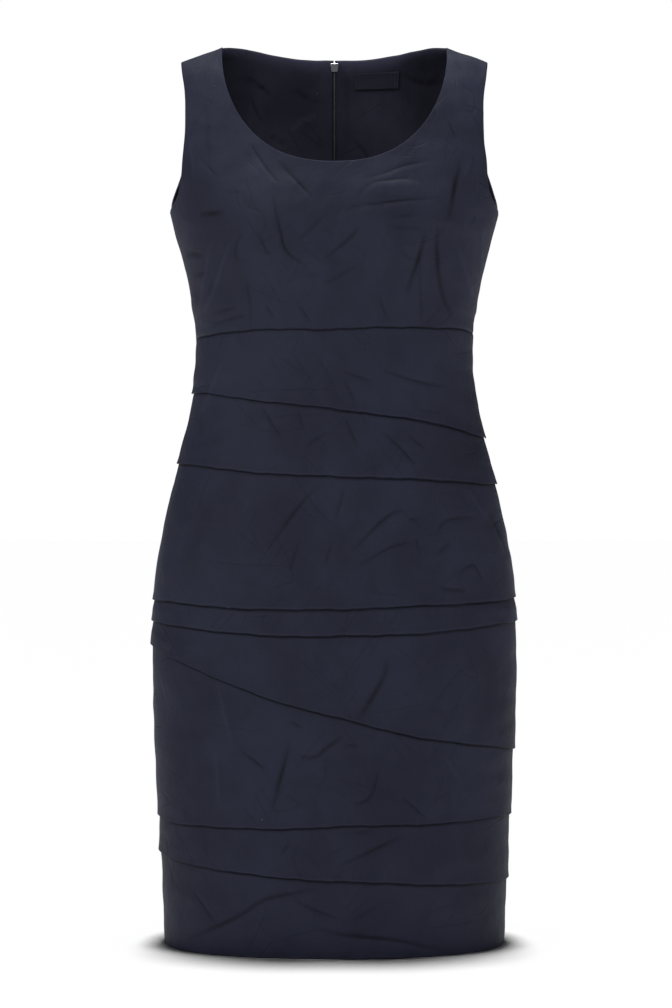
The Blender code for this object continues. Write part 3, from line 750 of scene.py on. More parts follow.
SKIRT_CREASES = [
    # reach, rise, line
    (18, 1.8, ((-110, -332), (-140, -370))),
    (22, 2.4, ((-70, -545), (-14, -470))),
    (22, 2.2, ((16, -548), (74, -496))),
    (20, 2.0, ((30, -700), (68, -655))),
    (20, -2.0, ((-38, -764), (8, -742))),
    (22, 2.0, ((-50, -740), (-66, -808))),
    (22, 2.2, ((-150, -944), (-20, -896))),
    (20, -2.0, ((-20, -918), (108, -946))),
    # midriff
    (3.2, 2.5, ((-112, -331), (-124, -362), (-142, -400))),
    (2.7, -1.6, ((10, -355), (39, -365))),
    (2.9, -2.0, ((50, -353), (84, -364), (116, -369))),
    (2.6, -1.4, ((11, -363), (22, -389))),
    # first tier
    (2.9, -1.8, ((-75, -392), (-54, -426))),
    (2.6, -1.4, ((-38, -394), (-31, -417))),
    (2.7, -1.8, ((-30, -436), (-23, -428), (-4, -417))),
    (2.7, -1.6, ((11, -402), (24, -433))),
    (3.0, -2.2, ((50, -417), (69, -435), (84, -452))),
    (2.6, -1.6, ((76, -420), (95, -436))),
    # second tier
    (3.4, -2.5, ((-69, -540), (-35, -493), (-15, -472))),
    (2.9, -1.8, ((-46, -562), (-35, -526))),
    (2.9, -1.8, ((1, -509), (11, -474))),
    (2.6, -1.6, ((-9, -555), (-2, -529))),
    (3.4, -2.5, ((17, -542), (55, -505), (76, -498))),
    (2.9, -2.0, ((24, -557), (58, -537), (84, -531))),
    (2.6, -1.4, ((76, -509), (91, -506))),
    (2.6, -1.4, ((84, -526), (88, -542))),
    (3.0, -2.0, ((105, -524), (118, -509), (148, -506))),
    (2.6, -1.6, ((105, -545), (121, -532))),
    (2.9, -2.0, ((128, -566), (144, -556), (155, -574))),
    (3.2, -2.5, ((110, -580), (137, -583))),
    (3.4, 2.2, ((140, -476), (159, -509))),
    (3.4, -2.2, ((162, -498), (185, -549))),
    # fourth tier
    (6.0, -2.4, ((24, -716), (50, -672), (55, -648))),
    # fifth tier
    (2.6, -1.6, ((-45, -716), (-33, -724))),
    (3.2, -3.2, ((-37, -753), (-20, -753), (-7, -743), (10, -731))),
    (2.6, -1.6, ((11, -741), (27, -741))),
    (3.5, 2.2, ((-122, -676), (-106, -742))),
    (3.5, 2.2, ((-124, -737), (-118, -810))),
    (2.9, -2.0, ((-95, -749), (-69, -767))),
    (4.6, -2.5, ((-45, -736), (-64, -808))),
    (3.2, -2.0, ((47, -761), (37, -794), (19, -802))),
    (3.2, 2.0, ((112, -753), (133, -781))),
    (2.9, -1.8, ((70, -795), (94, -817))),
    # sixth tier
    (2.7, -1.8, ((19, -832), (42, -828))),
    (3.2, -2.3, ((1, -866), (24, -856), (73, -833))),
    (2.7, -1.6, ((-54, -854), (-45, -838))),
    # seventh tier
    (3.5, -3.2, ((-156, -949), (-97, -917), (-71, -900), (-33, -891), (-14, -886))),
    (3.2, -2.9, ((-20, -927), (1, -934), (22, -937), (65, -942), (110, -954))),
    (2.9, -1.8, ((-40, -900), (-20, -910), (6, -920))),
    (2.7, -1.6, ((19, -922), (44, -905))),
    (3.0, -2.0, ((-148, -895), (-124, -926))),
]


def panel(name, upper_edge, lower_edge):
    """A panel from inside the edge above it to its own lower edge, which lies over the next panel."""
    tucked = upper_edge != "under_bust"
    laps = lower_edge != "hem"
    edge = edge_height(EDGES[upper_edge], front_shares)
    top = edge + TUCK_OVERLAP if tucked else edge - SEAM_GAP / 2
    foot = edge_height(EDGES[lower_edge], front_shares)
    shares = row_shares(float(np.max(top - foot)), ROW_STEP, not tucked, True)[:, None]
    heights = top + (foot - top) * shares
    offset = np.zeros(heights.shape) if tucked else seam_sink(edge - heights)
    if laps:
        lap = foot + TUCK_OVERLAP
        risen = np.clip((edge - heights) / np.maximum(edge - lap, 1.0), 0.0, 1.0)
        flared = np.clip((lap - heights) / TUCK_OVERLAP, 0.0, 1.0)
        offset = offset + LAYER_STEP * risen + EDGE_FLARE * flared**2
    points = level_rows(heights, FRONT)
    middle, out, painted_shading = laid(points, FRONT, offset, BODICE_CREASES[:7] + SKIRT_CREASES)
    # Painted shadow just under the edge of the panel above, or painted shade along the seam under the bust;
    # a painted highlight on the folded lower edge, and painted shade on its last row.
    if tucked:
        painted_shading += np.exp(-(((edge - heights - TUCK_SHADE_AT) / TUCK_SHADE) ** 2))
    else:
        painted_shading += np.exp(-(((edge - heights) / SEAM_PAINTED_SHADE) ** 2))
    painted_shading[-len(EDGE_ROWS) :] -= LIP_PAINTED_HIGHLIGHT
    painted_shading[-1] += 1.0
    return cloth_shell(name, middle, out, CLOTH, (sateen, sateen_wrong_side_shaded), FRONT, painted_shading)


for name, node, hangs_from, upper_edge, lower_edge, flat, area in PANELS:
    piece = panel(name, upper_edge, lower_edge)
    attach(piece, "dress")
    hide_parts(node)


# ---------------------------------------------------------------------------------------------------
# Back, in two plain halves of the same sateen from shoulder to hem, joined down the middle by the
# zip and, below it, by a seam. No tucks or darts are cut in it. Nothing of it shows in front but its
# inside at the neck and armholes.

BACK_COLUMNS = 180
BACK_ROW_STEP = 4.2
NECK_NOTCH = 0.9
NOTCH_DEPTH = 13.0
BACK_CREASES = [
    # reach, rise, line
    (24, -2.4, ((-130, -215), (-90, -290))),
    (24, -2.2, ((125, -225), (95, -300))),
    (24, 2.4, ((-120, -372), (-30, -352))),
    (24, 2.2, ((28, -360), (118, -384))),
    (28, 2.2, ((-60, -560), (-140, -500))),
    (28, 2.0, ((70, -720), (130, -650))),
    (3.4, -2.3, ((-120, -352), (-72, -340), (-26, -346))),
    (3.5, 2.5, ((-132, -330), (-84, -322), (-40, -330))),
    (3.2, -2.2, ((24, -338), (70, -346), (122, -338))),
    (3.5, 2.3, ((36, -318), (88, -324), (128, -314))),
    (3.2, -2.0, ((-104, -384), (-60, -392), (-30, -402))),
    (3.2, -2.0, ((30, -390), (78, -382), (126, -394))),
    (3.5, 2.2, ((-140, -268), (-112, -232), (-104, -198))),
    (3.5, 2.2, ((140, -280), (116, -240), (106, -204))),
    (3.2, -1.8, ((-96, -120), (-62, -158), (-30, -172))),
    (3.2, -1.8, ((96, -112), (66, -150), (28, -166))),
    (4.0, -2.3, ((-30, -430), (-62, -476), (-110, -505))),
    (4.0, -2.3, ((34, -436), (70, -470), (118, -492))),
    (3.5, 2.0, ((-150, -560), (-108, -590), (-64, -596))),
    (3.5, 2.0, ((52, -600), (104, -584), (150, -548))),
    (3.7, -2.0, ((-128, -660), (-92, -704), (-44, -722))),
    (3.7, 2.2, ((48, -702), (92, -668), (132, -640))),
    (3.5, -2.0, ((40, -770), (88, -748), (136, -756))),
    (3.5, 2.2, ((-136, -776), (-90, -800), (-40, -792))),
    (3.7, -2.2, ((-140, -900), (-88, -880), (-34, -892))),
    (3.7, 2.2, ((30, -874), (82, -896), (138, -884))),
    (3.4, -1.8, ((-60, -930), (-20, -912))),
    (3.4, -1.8, ((60, -924), (104, -936))),
    (2.9, -1.6, ((-150, -440), (-136, -470))),
    (2.9, -1.6, ((150, -450), (134, -480))),
    # above the underarms, where the inside shows through the neck
    (3.0, 1.8, ((-93, -39), (-88, -54), (-79, -69))),
    (3.0, 1.8, ((-74, -80), (-63, -87), (-53, -90))),
    (3.2, 2.0, ((73, -15), (84, -22), (100, -27), (119, -27))),
    (4.0, 1.2, ((-48, -28), (-30, -40), (-8, -42))),
    (3.6, -1.2, ((-48, -76), (-36, -64), (-20, -60))),
    (4.0, 1.1, ((20, -84), (34, -98), (38, -112))),
    (4.4, 1.2, ((-104, -22), (-88, -26), (-70, -38))),
]

back_upper = upper_grid(BACK, BACK_COLUMNS, row_shares(UPPER_LENGTH, BACK_ROW_STEP, True, False))
lower_shares = row_shares(UNDERARM_Z - HEM_Z, BACK_ROW_STEP, False, True)[1:, None]
back_heights = UNDERARM_Z + (HEM_Z - UNDERARM_Z) * lower_shares
back_lower = level_rows(np.repeat(back_heights, BACK_COLUMNS + 1, axis=1), BACK)
back_points = np.concatenate([back_upper, back_lower])
# The back's creases carry painted shading too, as the front's do.
back_middle, back_out, back_painted_shading = laid(back_points, BACK, 0.0, BACK_CREASES)
centre = BACK_COLUMNS // 2
depth_down = np.concatenate([[0.0], np.cumsum(-np.diff(back_middle[:, centre, 2]))])
notch = np.clip(NECK_NOTCH * (1 - depth_down / NOTCH_DEPTH) + SEAM_GAP / 2, SEAM_GAP / 2, NECK_NOTCH)
for half_name, node, columns, direction in (
    ("back_left_cloth", "back_left", slice(0, centre + 1), -1),
    ("back_right_cloth", "back_right", slice(centre, BACK_COLUMNS + 1), 1),
):
    middle = back_middle[:, columns].copy()
    out = back_out[:, columns]
    middle[:, -1 if direction < 0 else 0, 0] += direction * notch
    piece = cloth_shell(half_name, middle, out, CLOTH, (sateen, sateen_wrong_side_shaded), BACK, back_painted_shading[:, columns])
    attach(piece, "dress")
    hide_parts(node)


# ---------------------------------------------------------------------------------------------------
# Zip tapes. Two strips of woven polyester tape, sewn flat inside the two edges of the back, from near
# the neck to a little below the hips. The back's folded edges meet over them.

TAPE_WALL = 0.8
TAPE_DEPTH = 1.55
TAPE_EDGES = (0.15, 12.5)
TAPE_COLUMNS = 10
TAPE_TOP_Z = -14.6
TAPE_END_Z = -549.5
TAPE_ROW_STEP = 4.0
TAPE_DARK = (0.009, 0.009, 0.015)
TAPE_LIGHT = (0.013, 0.013, 0.021)

back_sheet = np.concatenate([back_middle, back_out], axis=-1)


def along_row(row, x):
    """What a row of a sheet holds at places across."""
    return np.stack([np.interp(x, row[:, 0], values) for values in row.T], axis=-1)


def on_sheet(sheet, across, heights):
    """What a sheet holds at places across and at heights."""
    strips = np.stack([along_row(row, np.asarray(across)) for row in sheet])
    depths = -np.asarray(heights)
    columns = []
    for strip in strips.transpose(1, 2, 0):
        columns.append([np.interp(depths, -strip[2], values) for values in strip])
    return np.array(columns).transpose(2, 0, 1)


tape_finish = woven("navy_zip_tape", TAPE_DARK, TAPE_LIGHT, 0.85, 1100.0, 0.1, 0.02, 0.2)
tape_heights = np.arange(TAPE_TOP_Z, TAPE_END_Z, -TAPE_ROW_STEP)
for side_name, direction in (("left", -1), ("right", 1)):
    across = np.sort(direction * np.linspace(*TAPE_EDGES, TAPE_COLUMNS))
    strip = on_sheet(back_sheet, across, tape_heights)
    out = strip[..., 3:]
    middle = strip[..., :3] - out * TAPE_DEPTH
    tape = cloth_shell("zip_tape_cloth_" + side_name, middle, out, TAPE_WALL, (tape_finish,), BACK)
    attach(tape, "dress")
    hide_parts("zip_tape_" + side_name)


# ---------------------------------------------------------------------------------------------------
# Zip coils. A nylon wire is wound round the edge of each tape, and its flattened turns catch between
# those of the other. Closed, they show through the neck as one thin light line down the back.

COIL_DEPTH = 3.15
COIL_TOP_Z = -13.4
COIL_PITCH = 1.5
COIL_CENTRE = 0.68
COIL_HALF_WIDE = 0.66
COIL_HALF_THICK = 0.5
WIRE_RADIUS = 0.26
COIL_LIGHT_HALF = 0.0004
COIL_PAINTED_SHADE_HALF = 0.0010
COIL_MIDDLE_GREYS = ((0.13, 0.132, 0.15), (0.21, 0.215, 0.235))
COIL_PAINTED_SHADE = (0.006, 0.006, 0.009)
COIL_END = 0.5
TURN_STEPS = 8
WIRE_SIDES = 5


def tube(bm, line, radius, sides):
    """Adds a round wire with closed ends along a line of points."""
    rings = []
    for place, before, after in zip(line, [line[0], *line[:-1]], [*line[1:], line[-1]]):
        ahead = Vector(after) - Vector(before)
        if rings:
            across = across - ahead * across.dot(ahead) / ahead.dot(ahead)
        else:
            across = ahead.orthogonal()
        across.normalize()
        beside = ahead.normalized().cross(across)
        ring = []
        for step in range(sides):
            angle = 2 * math.pi * step / sides
            spoke = across * math.cos(angle) + beside * math.sin(angle)
            ring.append(bm.verts.new(Vector(place) + spoke * radius))
        if rings:
            for step in range(sides):
                bm.faces.new((rings[-1][step - 1], rings[-1][step], ring[step], ring[step - 1]))
        rings.append(ring)
    bm.faces.new(rings[0])
    bm.faces.new(rings[-1][::-1])


def solid(name, bm, material, smooth_shaded=True):
    """Makes a piece of what has been built in millimetres."""
    bmesh.ops.recalc_face_normals(bm, faces=bm.faces[:])
    bmesh.ops.scale(bm, vec=(MM, MM, MM), verts=bm.verts[:])
    mesh = bpy.data.meshes.new(name)
    bm.to_mesh(mesh)
    bm.free()
    mesh.materials.append(material)
    if smooth_shaded:
        mesh.shade_smooth()
    return placed(name, mesh)


coil_finish, sockets, shade = new_finish("navy_nylon_coil", 0.42)
place = shade.node("TexCoord", {}, {}, "Object")
rubs = shade.noise(place, 300.0)
off_centre = shade.node("SeparateXYZ", {}, {0: place}, "X").maths("ABSOLUTE")
# The coil is light grey along the middle, where the two coils meet, and goes to near black further out, as
# painted shade.
coil_grey_and_painted_shade = off_centre.between(COIL_LIGHT_HALF, COIL_PAINTED_SHADE_HALF).tint(rubs.tint(*COIL_MIDDLE_GREYS), COIL_PAINTED_SHADE)
connect(coil_grey_and_painted_shade, sockets["Base Color"])
connect(0.34 + rubs * 0.16, sockets["Roughness"])

turns = round((COIL_TOP_Z - TAPE_END_Z) / COIL_PITCH)
phases = np.linspace(0.0, 2 * math.pi * turns, turns * TURN_STEPS + 1)
coil_heights = np.linspace(COIL_TOP_Z, TAPE_END_Z + COIL_END, len(phases))
spine = on_sheet(back_sheet, (0.0,), coil_heights)[:, 0]
bm = bmesh.new()
for direction in (-1, 1):
    turned = phases + (math.pi / 2 if direction > 0 else 0.0)
    height = COIL_DEPTH + COIL_HALF_THICK * np.sin(turned)
    wire = spine[:, :3] - spine[:, 3:] * height[:, None]
    wire[:, 0] = direction * COIL_CENTRE + COIL_HALF_WIDE * np.cos(turned)
    tube(bm, wire, WIRE_RADIUS, WIRE_SIDES)
coils = solid("zip_coil_turns", bm, coil_finish)
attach(coils, "dress")
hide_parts("zip_coil")


# ---------------------------------------------------------------------------------------------------
# Back facing, in two halves of a duller navy cloth, sewn in at the neck and armholes and along the
# zip. It is the darker inside that shows through the neck, and it shares the back's creases there,
# with painted shade in them; a painted lighter band runs along its top, and painted shade darkens it
# towards both sides.

FACING_WALL = 1.0
FACING_EDGE = 2.2
FACING_FLAT = 1.65
FACING_RAISED = 2.95
FACING_RAMP = (11.0, 17.0)
FACING_CLIMB = 6.0
FACING_SHARE = 8 / 13
FACING_COLUMNS = 90
NECK_TUCK = 0.5
NECK_TUCK_ROWS = 3
TOP_BAND = 11.0
TOP_BAND_PAINTED_LIGHT = 1.0
CREASE_PAINTED_SHADE_INSIDE = 2.6
SIDE_PAINTED_SHADE = 0.7
SHADE_FROM_RIGHT = 62.0
SHADE_FROM_LEFT = 84.0
SHADE_RAMP = 36.0

FACING_DARK = (0.0210, 0.0210, 0.0365)
FACING_LIGHT = (0.0330, 0.0326, 0.0545)
facing_finish = woven("navy_facing_cloth", FACING_DARK, FACING_LIGHT, 0.75, 2200.0, 0.12, 0.03, 1.0)
facing_rows = round(len(back_upper) * FACING_SHARE) + 1
# Painted shading of the inside: painted shade in the creases, a painted lighter band along the top, and
# painted shade towards both sides, starting nearer the middle on the right.
facing_painted_shading = np.maximum(-CREASE_PAINTED_SHADE_INSIDE * back_painted_shading[:facing_rows], -RIDGE_PAINTED_HIGHLIGHT)
facing_below = np.linalg.norm(back_middle[:facing_rows] - back_middle[:1], axis=-1)
facing_painted_shading -= TOP_BAND_PAINTED_LIGHT * np.exp(-((facing_below / TOP_BAND) ** 2))
facing_x = back_middle[:facing_rows, :, 0]
facing_painted_shading += SIDE_PAINTED_SHADE * np.clip((facing_x - SHADE_FROM_RIGHT) / SHADE_RAMP, 0.0, 1.0)
facing_painted_shading += SIDE_PAINTED_SHADE * np.clip((-facing_x - SHADE_FROM_LEFT) / SHADE_RAMP, 0.0, 1.0)
sheet_and_painted_shading = np.concatenate([back_sheet[:facing_rows], facing_painted_shading[..., None]], axis=-1)
for side_name, direction in (("left", -1), ("right", 1)):
    rows = []
    for row in sheet_and_painted_shading:
        reach = row[-1 if direction > 0 else 0, 0] - direction * FACING_EDGE
        across = direction * FACING_EDGE + reach * np.linspace(0.0, 1.0, FACING_COLUMNS + 1)
        rows.append(along_row(row, np.sort(across)))
    rows = np.array(rows)
    near, far = FACING_RAMP
    ramp = np.clip((np.abs(rows[..., 0]) - near) / (far - near), 0.0, 1.0)
    ramp = 1 - ramp * ramp * (3 - 2 * ramp)
    ramp *= np.clip((TAPE_TOP_Z - rows[..., 2]) / FACING_CLIMB + 0.5, 0.0, 1.0)
    depth = FACING_FLAT + (FACING_RAISED - FACING_FLAT) * ramp
    depth[:NECK_TUCK_ROWS] -= np.linspace(NECK_TUCK, 0.0, NECK_TUCK_ROWS + 1)[:-1, None]
    out = rows[..., 3:6]
    middle = rows[..., :3] - out * depth[..., None]
    facing = cloth_shell(
        "facing_" + side_name + "_cloth", middle, out, FACING_WALL, (facing_finish,), BACK, rows[..., 6]
    )
    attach(facing, "dress")
    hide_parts("back_facing_" + side_name)


# ---------------------------------------------------------------------------------------------------
# Zip slider, cast in zinc and plated light grey. Its body rides on the coils inside the back, at the
# neck. A neck between the back's edges holds a bridge outside, with two lugs and the pull tab's pin.

SLIDER_PLACE = (0.0, 73.529, -7.26)
SLIDER_LEAN = 0.72416
SLIDER_HALF_LONG = 5.25
SLIDER_TOP_HALF = 4.5
SLIDER_FOOT_HALF = 3.3
BODY_LEVELS = (-5.85, -4.75)
RIM_LEVELS = (-4.9, -3.85)
RIM_WIDE = 0.9
NECK_HALF_WIDE = 0.55
BRIDGE_HALF = (2.6, 4.0)
BRIDGE_LEVELS = (1.05, 2.25)
LUG_SIDES = (1.6, 2.6)
LUG_LEVELS = (1.65, 5.05)
LUG_HALF_LONG = 1.6
PIN_LEVEL = 4.25
PIN_RADIUS = 0.6
PIN_HALF_LONG = 2.75
CORNER_STEPS = 5
BODY_CORNER = 1.3
BODY_BEVEL = 0.3
RIM_CORNER = 0.3
RIM_BEVEL = 0.15
RIM_START = 1.0
RIM_END = 2.2
WEDGE_HALF = 1.6
WEDGE_MARGIN = 0.6
WEDGE_CORNER = 0.4
STEM_HALF_LONG = 3.7
STEM_CORNER = 0.3
STEM_BEVEL = 0.1
STEM_SINKS = (0.2, 0.4)
BRIDGE_CORNER = 1.2
BRIDGE_BEVEL = 0.3
LUG_CORNER = 1.2
LUG_BEVEL = 0.15
PLATED_DARK = (0.52, 0.53, 0.56)
PLATED_LIGHT = (0.66, 0.67, 0.70)
BRUSH_DEPTH = 0.0001


def rounded_outline(corners, radius):
    """A closed outline through some corners, each rounded off."""
    outline = []
    for before, corner, after in zip([corners[-1], *corners[:-1]], corners, [*corners[1:], corners[0]]):
        corner = Vector(corner)
        start = corner + (Vector(before) - corner).normalized() * radius
        end = corner + (Vector(after) - corner).normalized() * radius
        for step in range(CORNER_STEPS):
            t = step / (CORNER_STEPS - 1)
            outline.append(start * (1 - t) ** 2 + corner * 2 * t * (1 - t) + end * t**2)
    return outline


def plate(bm, outline, low, high, bevel):
    """Adds a plate with bevelled edges: its outline across X and Z, between two levels of Y."""
    centre = sum(outline, Vector((0.0, 0.0))) / len(outline)
    rings = []
    for level, shrink in ((low, bevel), (low + bevel, 0.0), (high - bevel, 0.0), (high, bevel)):
        ring = []
        for place in outline:
            inward = (centre - place).normalized() * shrink
            ring.append(bm.verts.new((place.x + inward.x, level, place.y + inward.y)))
        rings.append(ring)
    for under, over in zip(rings, rings[1:]):
        for step in range(len(outline)):
            bm.faces.new((under[step - 1], under[step], over[step], over[step - 1]))
    bm.faces.new(rings[0])
    bm.faces.new(rings[-1][::-1])


def barrel(bm, radius, half_long, level, segments=24):
    """Adds a short round bar across X, at a level of Y."""
    made = bmesh.ops.create_cone(
        bm, cap_ends=True, segments=segments, radius1=radius, radius2=radius, depth=2 * half_long
    )["verts"]
    bmesh.ops.rotate(bm, matrix=Matrix.Rotation(math.pi / 2, 3, "Y"), verts=made)
    bmesh.ops.translate(bm, vec=(0, level, 0), verts=made)


plated, sockets, shade = new_finish("grey_plated_zinc", 0.3, 0.85)
place = shade.node("TexCoord", {}, {}, "Object")
stains = shade.noise(place, 900.0, 3.0)
brushing = shade.noise(place, 2600.0, 1.0, (1.0, 1.0, 0.15))
connect(stains.between(0.3, 0.75).tint(PLATED_DARK, PLATED_LIGHT), sockets["Base Color"])
connect(0.26 + stains * 0.2, sockets["Roughness"])
brushed = {"Strength": 0.25, "Distance": BRUSH_DEPTH, "Height": brushing}
connect(shade.node("Bump", {}, brushed), sockets["Normal"])

bm = bmesh.new()
long, top, foot = SLIDER_HALF_LONG, SLIDER_TOP_HALF, SLIDER_FOOT_HALF
body = [(-foot, -long), (foot, -long), (top, long), (-top, long)]
plate(bm, rounded_outline(body, BODY_CORNER), *BODY_LEVELS, BODY_BEVEL)
for direction in (-1, 1):
    rim_foot, rim_top = RIM_START - long, long - RIM_END
    rim = [(foot - RIM_WIDE, rim_foot), (foot, rim_foot), (top, rim_top), (top - RIM_WIDE, rim_top)]
    rim = [(direction * x, z) for x, z in rim]
    plate(bm, rounded_outline(rim, RIM_CORNER), *RIM_LEVELS, RIM_BEVEL)
wedge_top = long - WEDGE_MARGIN
wedge = [(-WEDGE_HALF, wedge_top), (0.0, -WEDGE_MARGIN), (WEDGE_HALF, wedge_top)]
plate(bm, rounded_outline(wedge, WEDGE_CORNER), *RIM_LEVELS, RIM_BEVEL)
stem_levels = (BODY_LEVELS[1] - STEM_SINKS[0], BRIDGE_LEVELS[0] + STEM_SINKS[1])
plates = [
    (NECK_HALF_WIDE, STEM_HALF_LONG, STEM_CORNER, stem_levels, STEM_BEVEL),
    (*BRIDGE_HALF, BRIDGE_CORNER, BRIDGE_LEVELS, BRIDGE_BEVEL),
]
for wide, high, corner, levels, bevel in plates:
    outline = [(-wide, -high), (wide, -high), (wide, high), (-wide, high)]
    plate(bm, rounded_outline(outline, corner), *levels, bevel)
for direction in (-1, 1):
    near, far = sorted(direction * edge for edge in LUG_SIDES)
    lug = [(LUG_LEVELS[0], -LUG_HALF_LONG), (LUG_LEVELS[1], -LUG_HALF_LONG)]
    lug += [(y, -z) for y, z in reversed(lug)]
    first = len(bm.verts)
    plate(bm, rounded_outline(lug, LUG_CORNER), near, far, LUG_BEVEL)
    bm.verts.ensure_lookup_table()
    for vert in bm.verts[first:]:
        vert.co = Vector((vert.co.y, vert.co.x, vert.co.z))
barrel(bm, PIN_RADIUS, PIN_HALF_LONG, PIN_LEVEL)
slider = solid("slider_metal", bm, plated, smooth_shaded=False)
slider.location = Vector(SLIDER_PLACE) * MM
slider.rotation_euler = (SLIDER_LEAN, 0, 0)
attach(slider, "dress")
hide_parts("zip_slider")


# ---------------------------------------------------------------------------------------------------
# Pull tab, stamped from the same plated metal: an eye round the slider's pin and a plate that widens
# to its foot. It hangs outside, at the back, and leans on the cloth below the slider.

PULL_PLACE = (0.0, 76.712, -4.444)
PULL_LEAN = 0.56218
EYE_BORE = 0.9
EYE_RADIUS = 1.6
EYE_HALF_WIDE = 1.3
PULL_TOP_HALF = 1.3
PULL_FOOT_HALF = 2.7
PULL_START = -1.25
PULL_LENGTH = 24.0
PULL_HALF_THICK = 0.6
EYE_STEPS = 28
BORE_BEVEL = 0.12
EYE_BEVEL = 0.15
PULL_CORNER = 0.9
PULL_BEVEL = 0.25

bm = bmesh.new()
section = [
    (-EYE_HALF_WIDE, EYE_BORE + BORE_BEVEL),
    (-EYE_HALF_WIDE + BORE_BEVEL, EYE_BORE),
    (EYE_HALF_WIDE - BORE_BEVEL, EYE_BORE),
    (EYE_HALF_WIDE, EYE_BORE + BORE_BEVEL),
    (EYE_HALF_WIDE, EYE_RADIUS - EYE_BEVEL),
    (EYE_HALF_WIDE - EYE_BEVEL, EYE_RADIUS),
    (-EYE_HALF_WIDE + EYE_BEVEL, EYE_RADIUS),
    (-EYE_HALF_WIDE, EYE_RADIUS - EYE_BEVEL),
]
eye = []
for step in range(EYE_STEPS):
    angle = 2 * math.pi * step / EYE_STEPS
    eye.append([bm.verts.new((x, r * math.sin(angle), r * math.cos(angle))) for x, r in section])
for step, ring in enumerate(eye):
    for side in range(len(section)):
        bm.faces.new((eye[step - 1][side - 1], eye[step - 1][side], ring[side], ring[side - 1]))
tab = [
    (-PULL_FOOT_HALF, -PULL_LENGTH),
    (PULL_FOOT_HALF, -PULL_LENGTH),
    (PULL_TOP_HALF, PULL_START),
    (-PULL_TOP_HALF, PULL_START),
]
plate(bm, rounded_outline(tab, PULL_CORNER), -PULL_HALF_THICK, PULL_HALF_THICK, PULL_BEVEL)
pull = solid("pull_tab_metal", bm, plated, smooth_shaded=False)
pull.location = Vector(PULL_PLACE) * MM
pull.rotation_euler = (PULL_LEAN, 0, 0)
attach(pull, "zip_pull_tab")
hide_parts("zip_pull")


# ---------------------------------------------------------------------------------------------------
# Neck label. A smooth woven rectangle, the colour of the facing and bare, sewn to it beside the zip
# with two rows of stitches at each end. Its foot is free and stands off a little.

LABEL_WALL = 0.8
LABEL_DEPTH = 3.05
LABEL_ACROSS = (23.0, 72.0)
LABEL_HEIGHTS = (-14.2, -31.4)
LABEL_COLUMNS = 40
LABEL_ROWS = 18
LABEL_LIFT = 0.5
STITCH_ROWS_AT = (24.4, 27.6, 67.2, 70.4)
STITCH_PITCH = 2.4
STITCH_LENGTH = 1.6
STITCH_INSET = 1.0
THREAD_RADIUS = 0.2
THREAD_ARCH = (0.0, 0.12, 0.12, 0.0)
THREAD_DARK = (0.020, 0.020, 0.032)
THREAD_LIGHT = (0.034, 0.034, 0.050)

LABEL_DARK = (0.0215, 0.0212, 0.0360)
LABEL_LIGHT = (0.0290, 0.0285, 0.0470)
label_finish = woven("navy_satin_label", LABEL_DARK, LABEL_LIGHT, 0.6, 3400.0, 0.15, 0.0, 0.1)
label_x = np.linspace(*LABEL_ACROSS, LABEL_COLUMNS + 1)
label_z = np.linspace(*LABEL_HEIGHTS, LABEL_ROWS + 1)
strip = on_sheet(back_sheet[:facing_rows], label_x, label_z)
across_share = (label_x - label_x[0]) / (label_x[-1] - label_x[0])
down_share = np.linspace(0.0, 1.0, LABEL_ROWS + 1)[:, None]
stand_off = LABEL_LIFT * np.sin(math.pi * across_share) ** 0.6 * down_share**2
label_out = strip[..., 3:]
middle = strip[..., :3] - label_out * (LABEL_DEPTH + stand_off)[..., None]
# Painted shade on the last two rows, along the label's free foot.
label_painted_shade = np.zeros(middle.shape[:2])
label_painted_shade[-2:] = 1.0
label = cloth_shell("label_cloth", middle, label_out, LABEL_WALL, (label_finish,), BACK, label_painted_shade)
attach(label, "dress")
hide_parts("neck_label")

thread_finish, sockets, shade = new_finish("navy_thread", 0.6)
strands = shade.noise(shade.node("TexCoord", {}, {}, "Object"), 4000.0, 1.0, (1.0, 1.0, 0.3))
connect(strands.tint(THREAD_DARK, THREAD_LIGHT), sockets["Base Color"])
label_top, label_foot = LABEL_HEIGHTS
stitch_tops = np.arange(label_top - STITCH_INSET, label_foot + STITCH_LENGTH, -STITCH_PITCH)
bm = bmesh.new()
for stitch_x in STITCH_ROWS_AT:
    for stitch_top in stitch_tops:
        heights = stitch_top - np.linspace(0.0, STITCH_LENGTH, len(THREAD_ARCH))
        run = on_sheet(back_sheet[:facing_rows], (stitch_x,), heights)[:, 0]
        raised = LABEL_DEPTH + LABEL_WALL / 2 + np.array(THREAD_ARCH)
        tube(bm, run[:, :3] - run[:, 3:] * raised[:, None], THREAD_RADIUS, 6)
stitches = solid("label_stitches", bm, thread_finish)
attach(stitches, "dress")


# ---------------------------------------------------------------------------------------------------
# Floor, light and camera. A plain pale floor just under the hem and a white surround, three large soft
# lights in front that light the dress and not the floor, and one from above and a little behind, which
# casts the soft shadow under the hem. The camera is level, at mid height, and has a long lens.

MM_PER_PIXEL = 1.076
CAMERA_DISTANCE = 2.8
CAMERA_HEIGHT = -0.492
FRAME_WIDTH = 672
FRAME_CENTRE_X = 336
DRESS_CENTRE_X = 334.4
FLOOR_CLEARANCE = 0.0007
FLOOR_HALF = 30.0
FLOOR_PALE = (0.86, 0.86, 0.86, 1.0)
SENSOR = 36.0
SIDE_LIGHT = (0.7, 1.0)
FRONT_LIGHT = (2.2, 1.2)
# name, place, aim, size, watts
FRONT_LIGHTS = [
    ("key_left", (-2.0, -1.9, 1.0), (0.0, 0.0, 0.0), SIDE_LIGHT, 25.0),
    ("key_right", (2.4, -1.1, 0.8), (0.0, 0.0, 0.0), SIDE_LIGHT, 12.0),
    ("front_fill", (-0.5, -2.6, 1.6), (0.0, 0.0, 0.1), FRONT_LIGHT, 20.0),
]
OVERHEAD_STRENGTH = 3.5
OVERHEAD_SPREAD = 6.4
OVERHEAD_LEAN = -4.0
SURROUND_SEEN = 1.0
SURROUND_LIGHT = 0.08

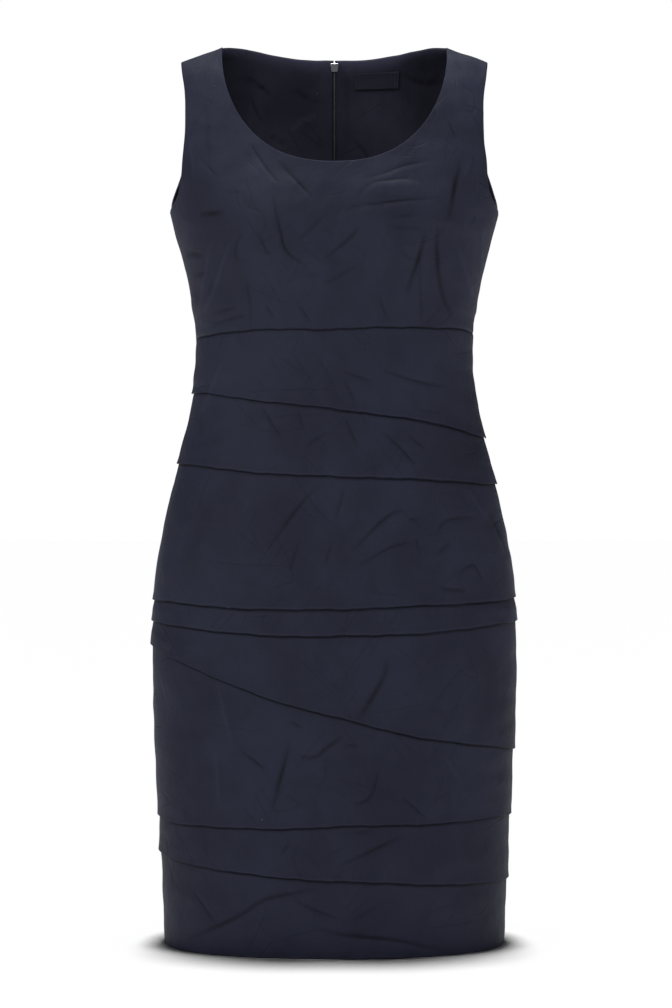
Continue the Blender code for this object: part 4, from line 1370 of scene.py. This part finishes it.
floor_mesh = bpy.data.meshes.new("floor")
bm = bmesh.new()
bmesh.ops.create_grid(bm, x_segments=1, y_segments=1, size=FLOOR_HALF)
bm.to_mesh(floor_mesh)
bm.free()
floor = placed("floor", floor_mesh)
floor.location = (0, 0, HEM_Z * MM - FLOOR_CLEARANCE)
floor_finish, sockets, _ = new_finish("pale_floor", 0.9)
sockets["Base Color"].default_value = FLOOR_PALE
sockets["Specular IOR Level"].default_value = 0.1
floor_mesh.materials.append(floor_finish)
floor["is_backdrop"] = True

off_floor = bpy.data.collections.new("lit from the front")
off_floor.objects.link(floor)
off_floor.collection_objects[0].light_linking.link_state = "EXCLUDE"
for name, place, aim, size, power in FRONT_LIGHTS:
    light = bpy.data.lights.new(name, "AREA")
    light.shape = "RECTANGLE"
    light.size, light.size_y = size
    light.energy = power
    lamp = placed(name, light)
    lamp.location = place
    lamp.rotation_euler = (Vector(aim) - Vector(place)).to_track_quat("-Z", "Y").to_euler()
    lamp.light_linking.receiver_collection = off_floor

overhead = bpy.data.lights.new("overhead", "SUN")
overhead.energy = OVERHEAD_STRENGTH
overhead.angle = math.radians(OVERHEAD_SPREAD)
placed("overhead", overhead).rotation_euler = (math.radians(OVERHEAD_LEAN), 0, 0)

world = bpy.data.worlds.new("white surround")
bpy.context.scene.world = world
world.use_nodes = True
surround = Shade(world.node_tree)
seen = surround.node("LightPath", {}, {})
world_sockets = world.node_tree.nodes["Background"].inputs
world_sockets["Color"].default_value = (1.0, 1.0, 1.0, 1.0)
connect(seen * (SURROUND_SEEN - SURROUND_LIGHT) + SURROUND_LIGHT, world_sockets["Strength"])
bpy.context.scene.view_settings.view_transform = "Standard"

lens = bpy.data.cameras.new("camera")
lens.sensor_fit = "HORIZONTAL"
lens.sensor_width = SENSOR
lens.lens = SENSOR * CAMERA_DISTANCE / (FRAME_WIDTH * MM_PER_PIXEL * MM)
camera = placed("camera", lens)
camera.location = ((FRAME_CENTRE_X - DRESS_CENTRE_X) * MM_PER_PIXEL * MM, -CAMERA_DISTANCE, CAMERA_HEIGHT)
camera.rotation_euler = (math.pi / 2, 0, 0)
bpy.context.scene.camera = camera

size = {"cad": [list(corner) for corner in cad_box], "visual": [list(corner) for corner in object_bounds()]}
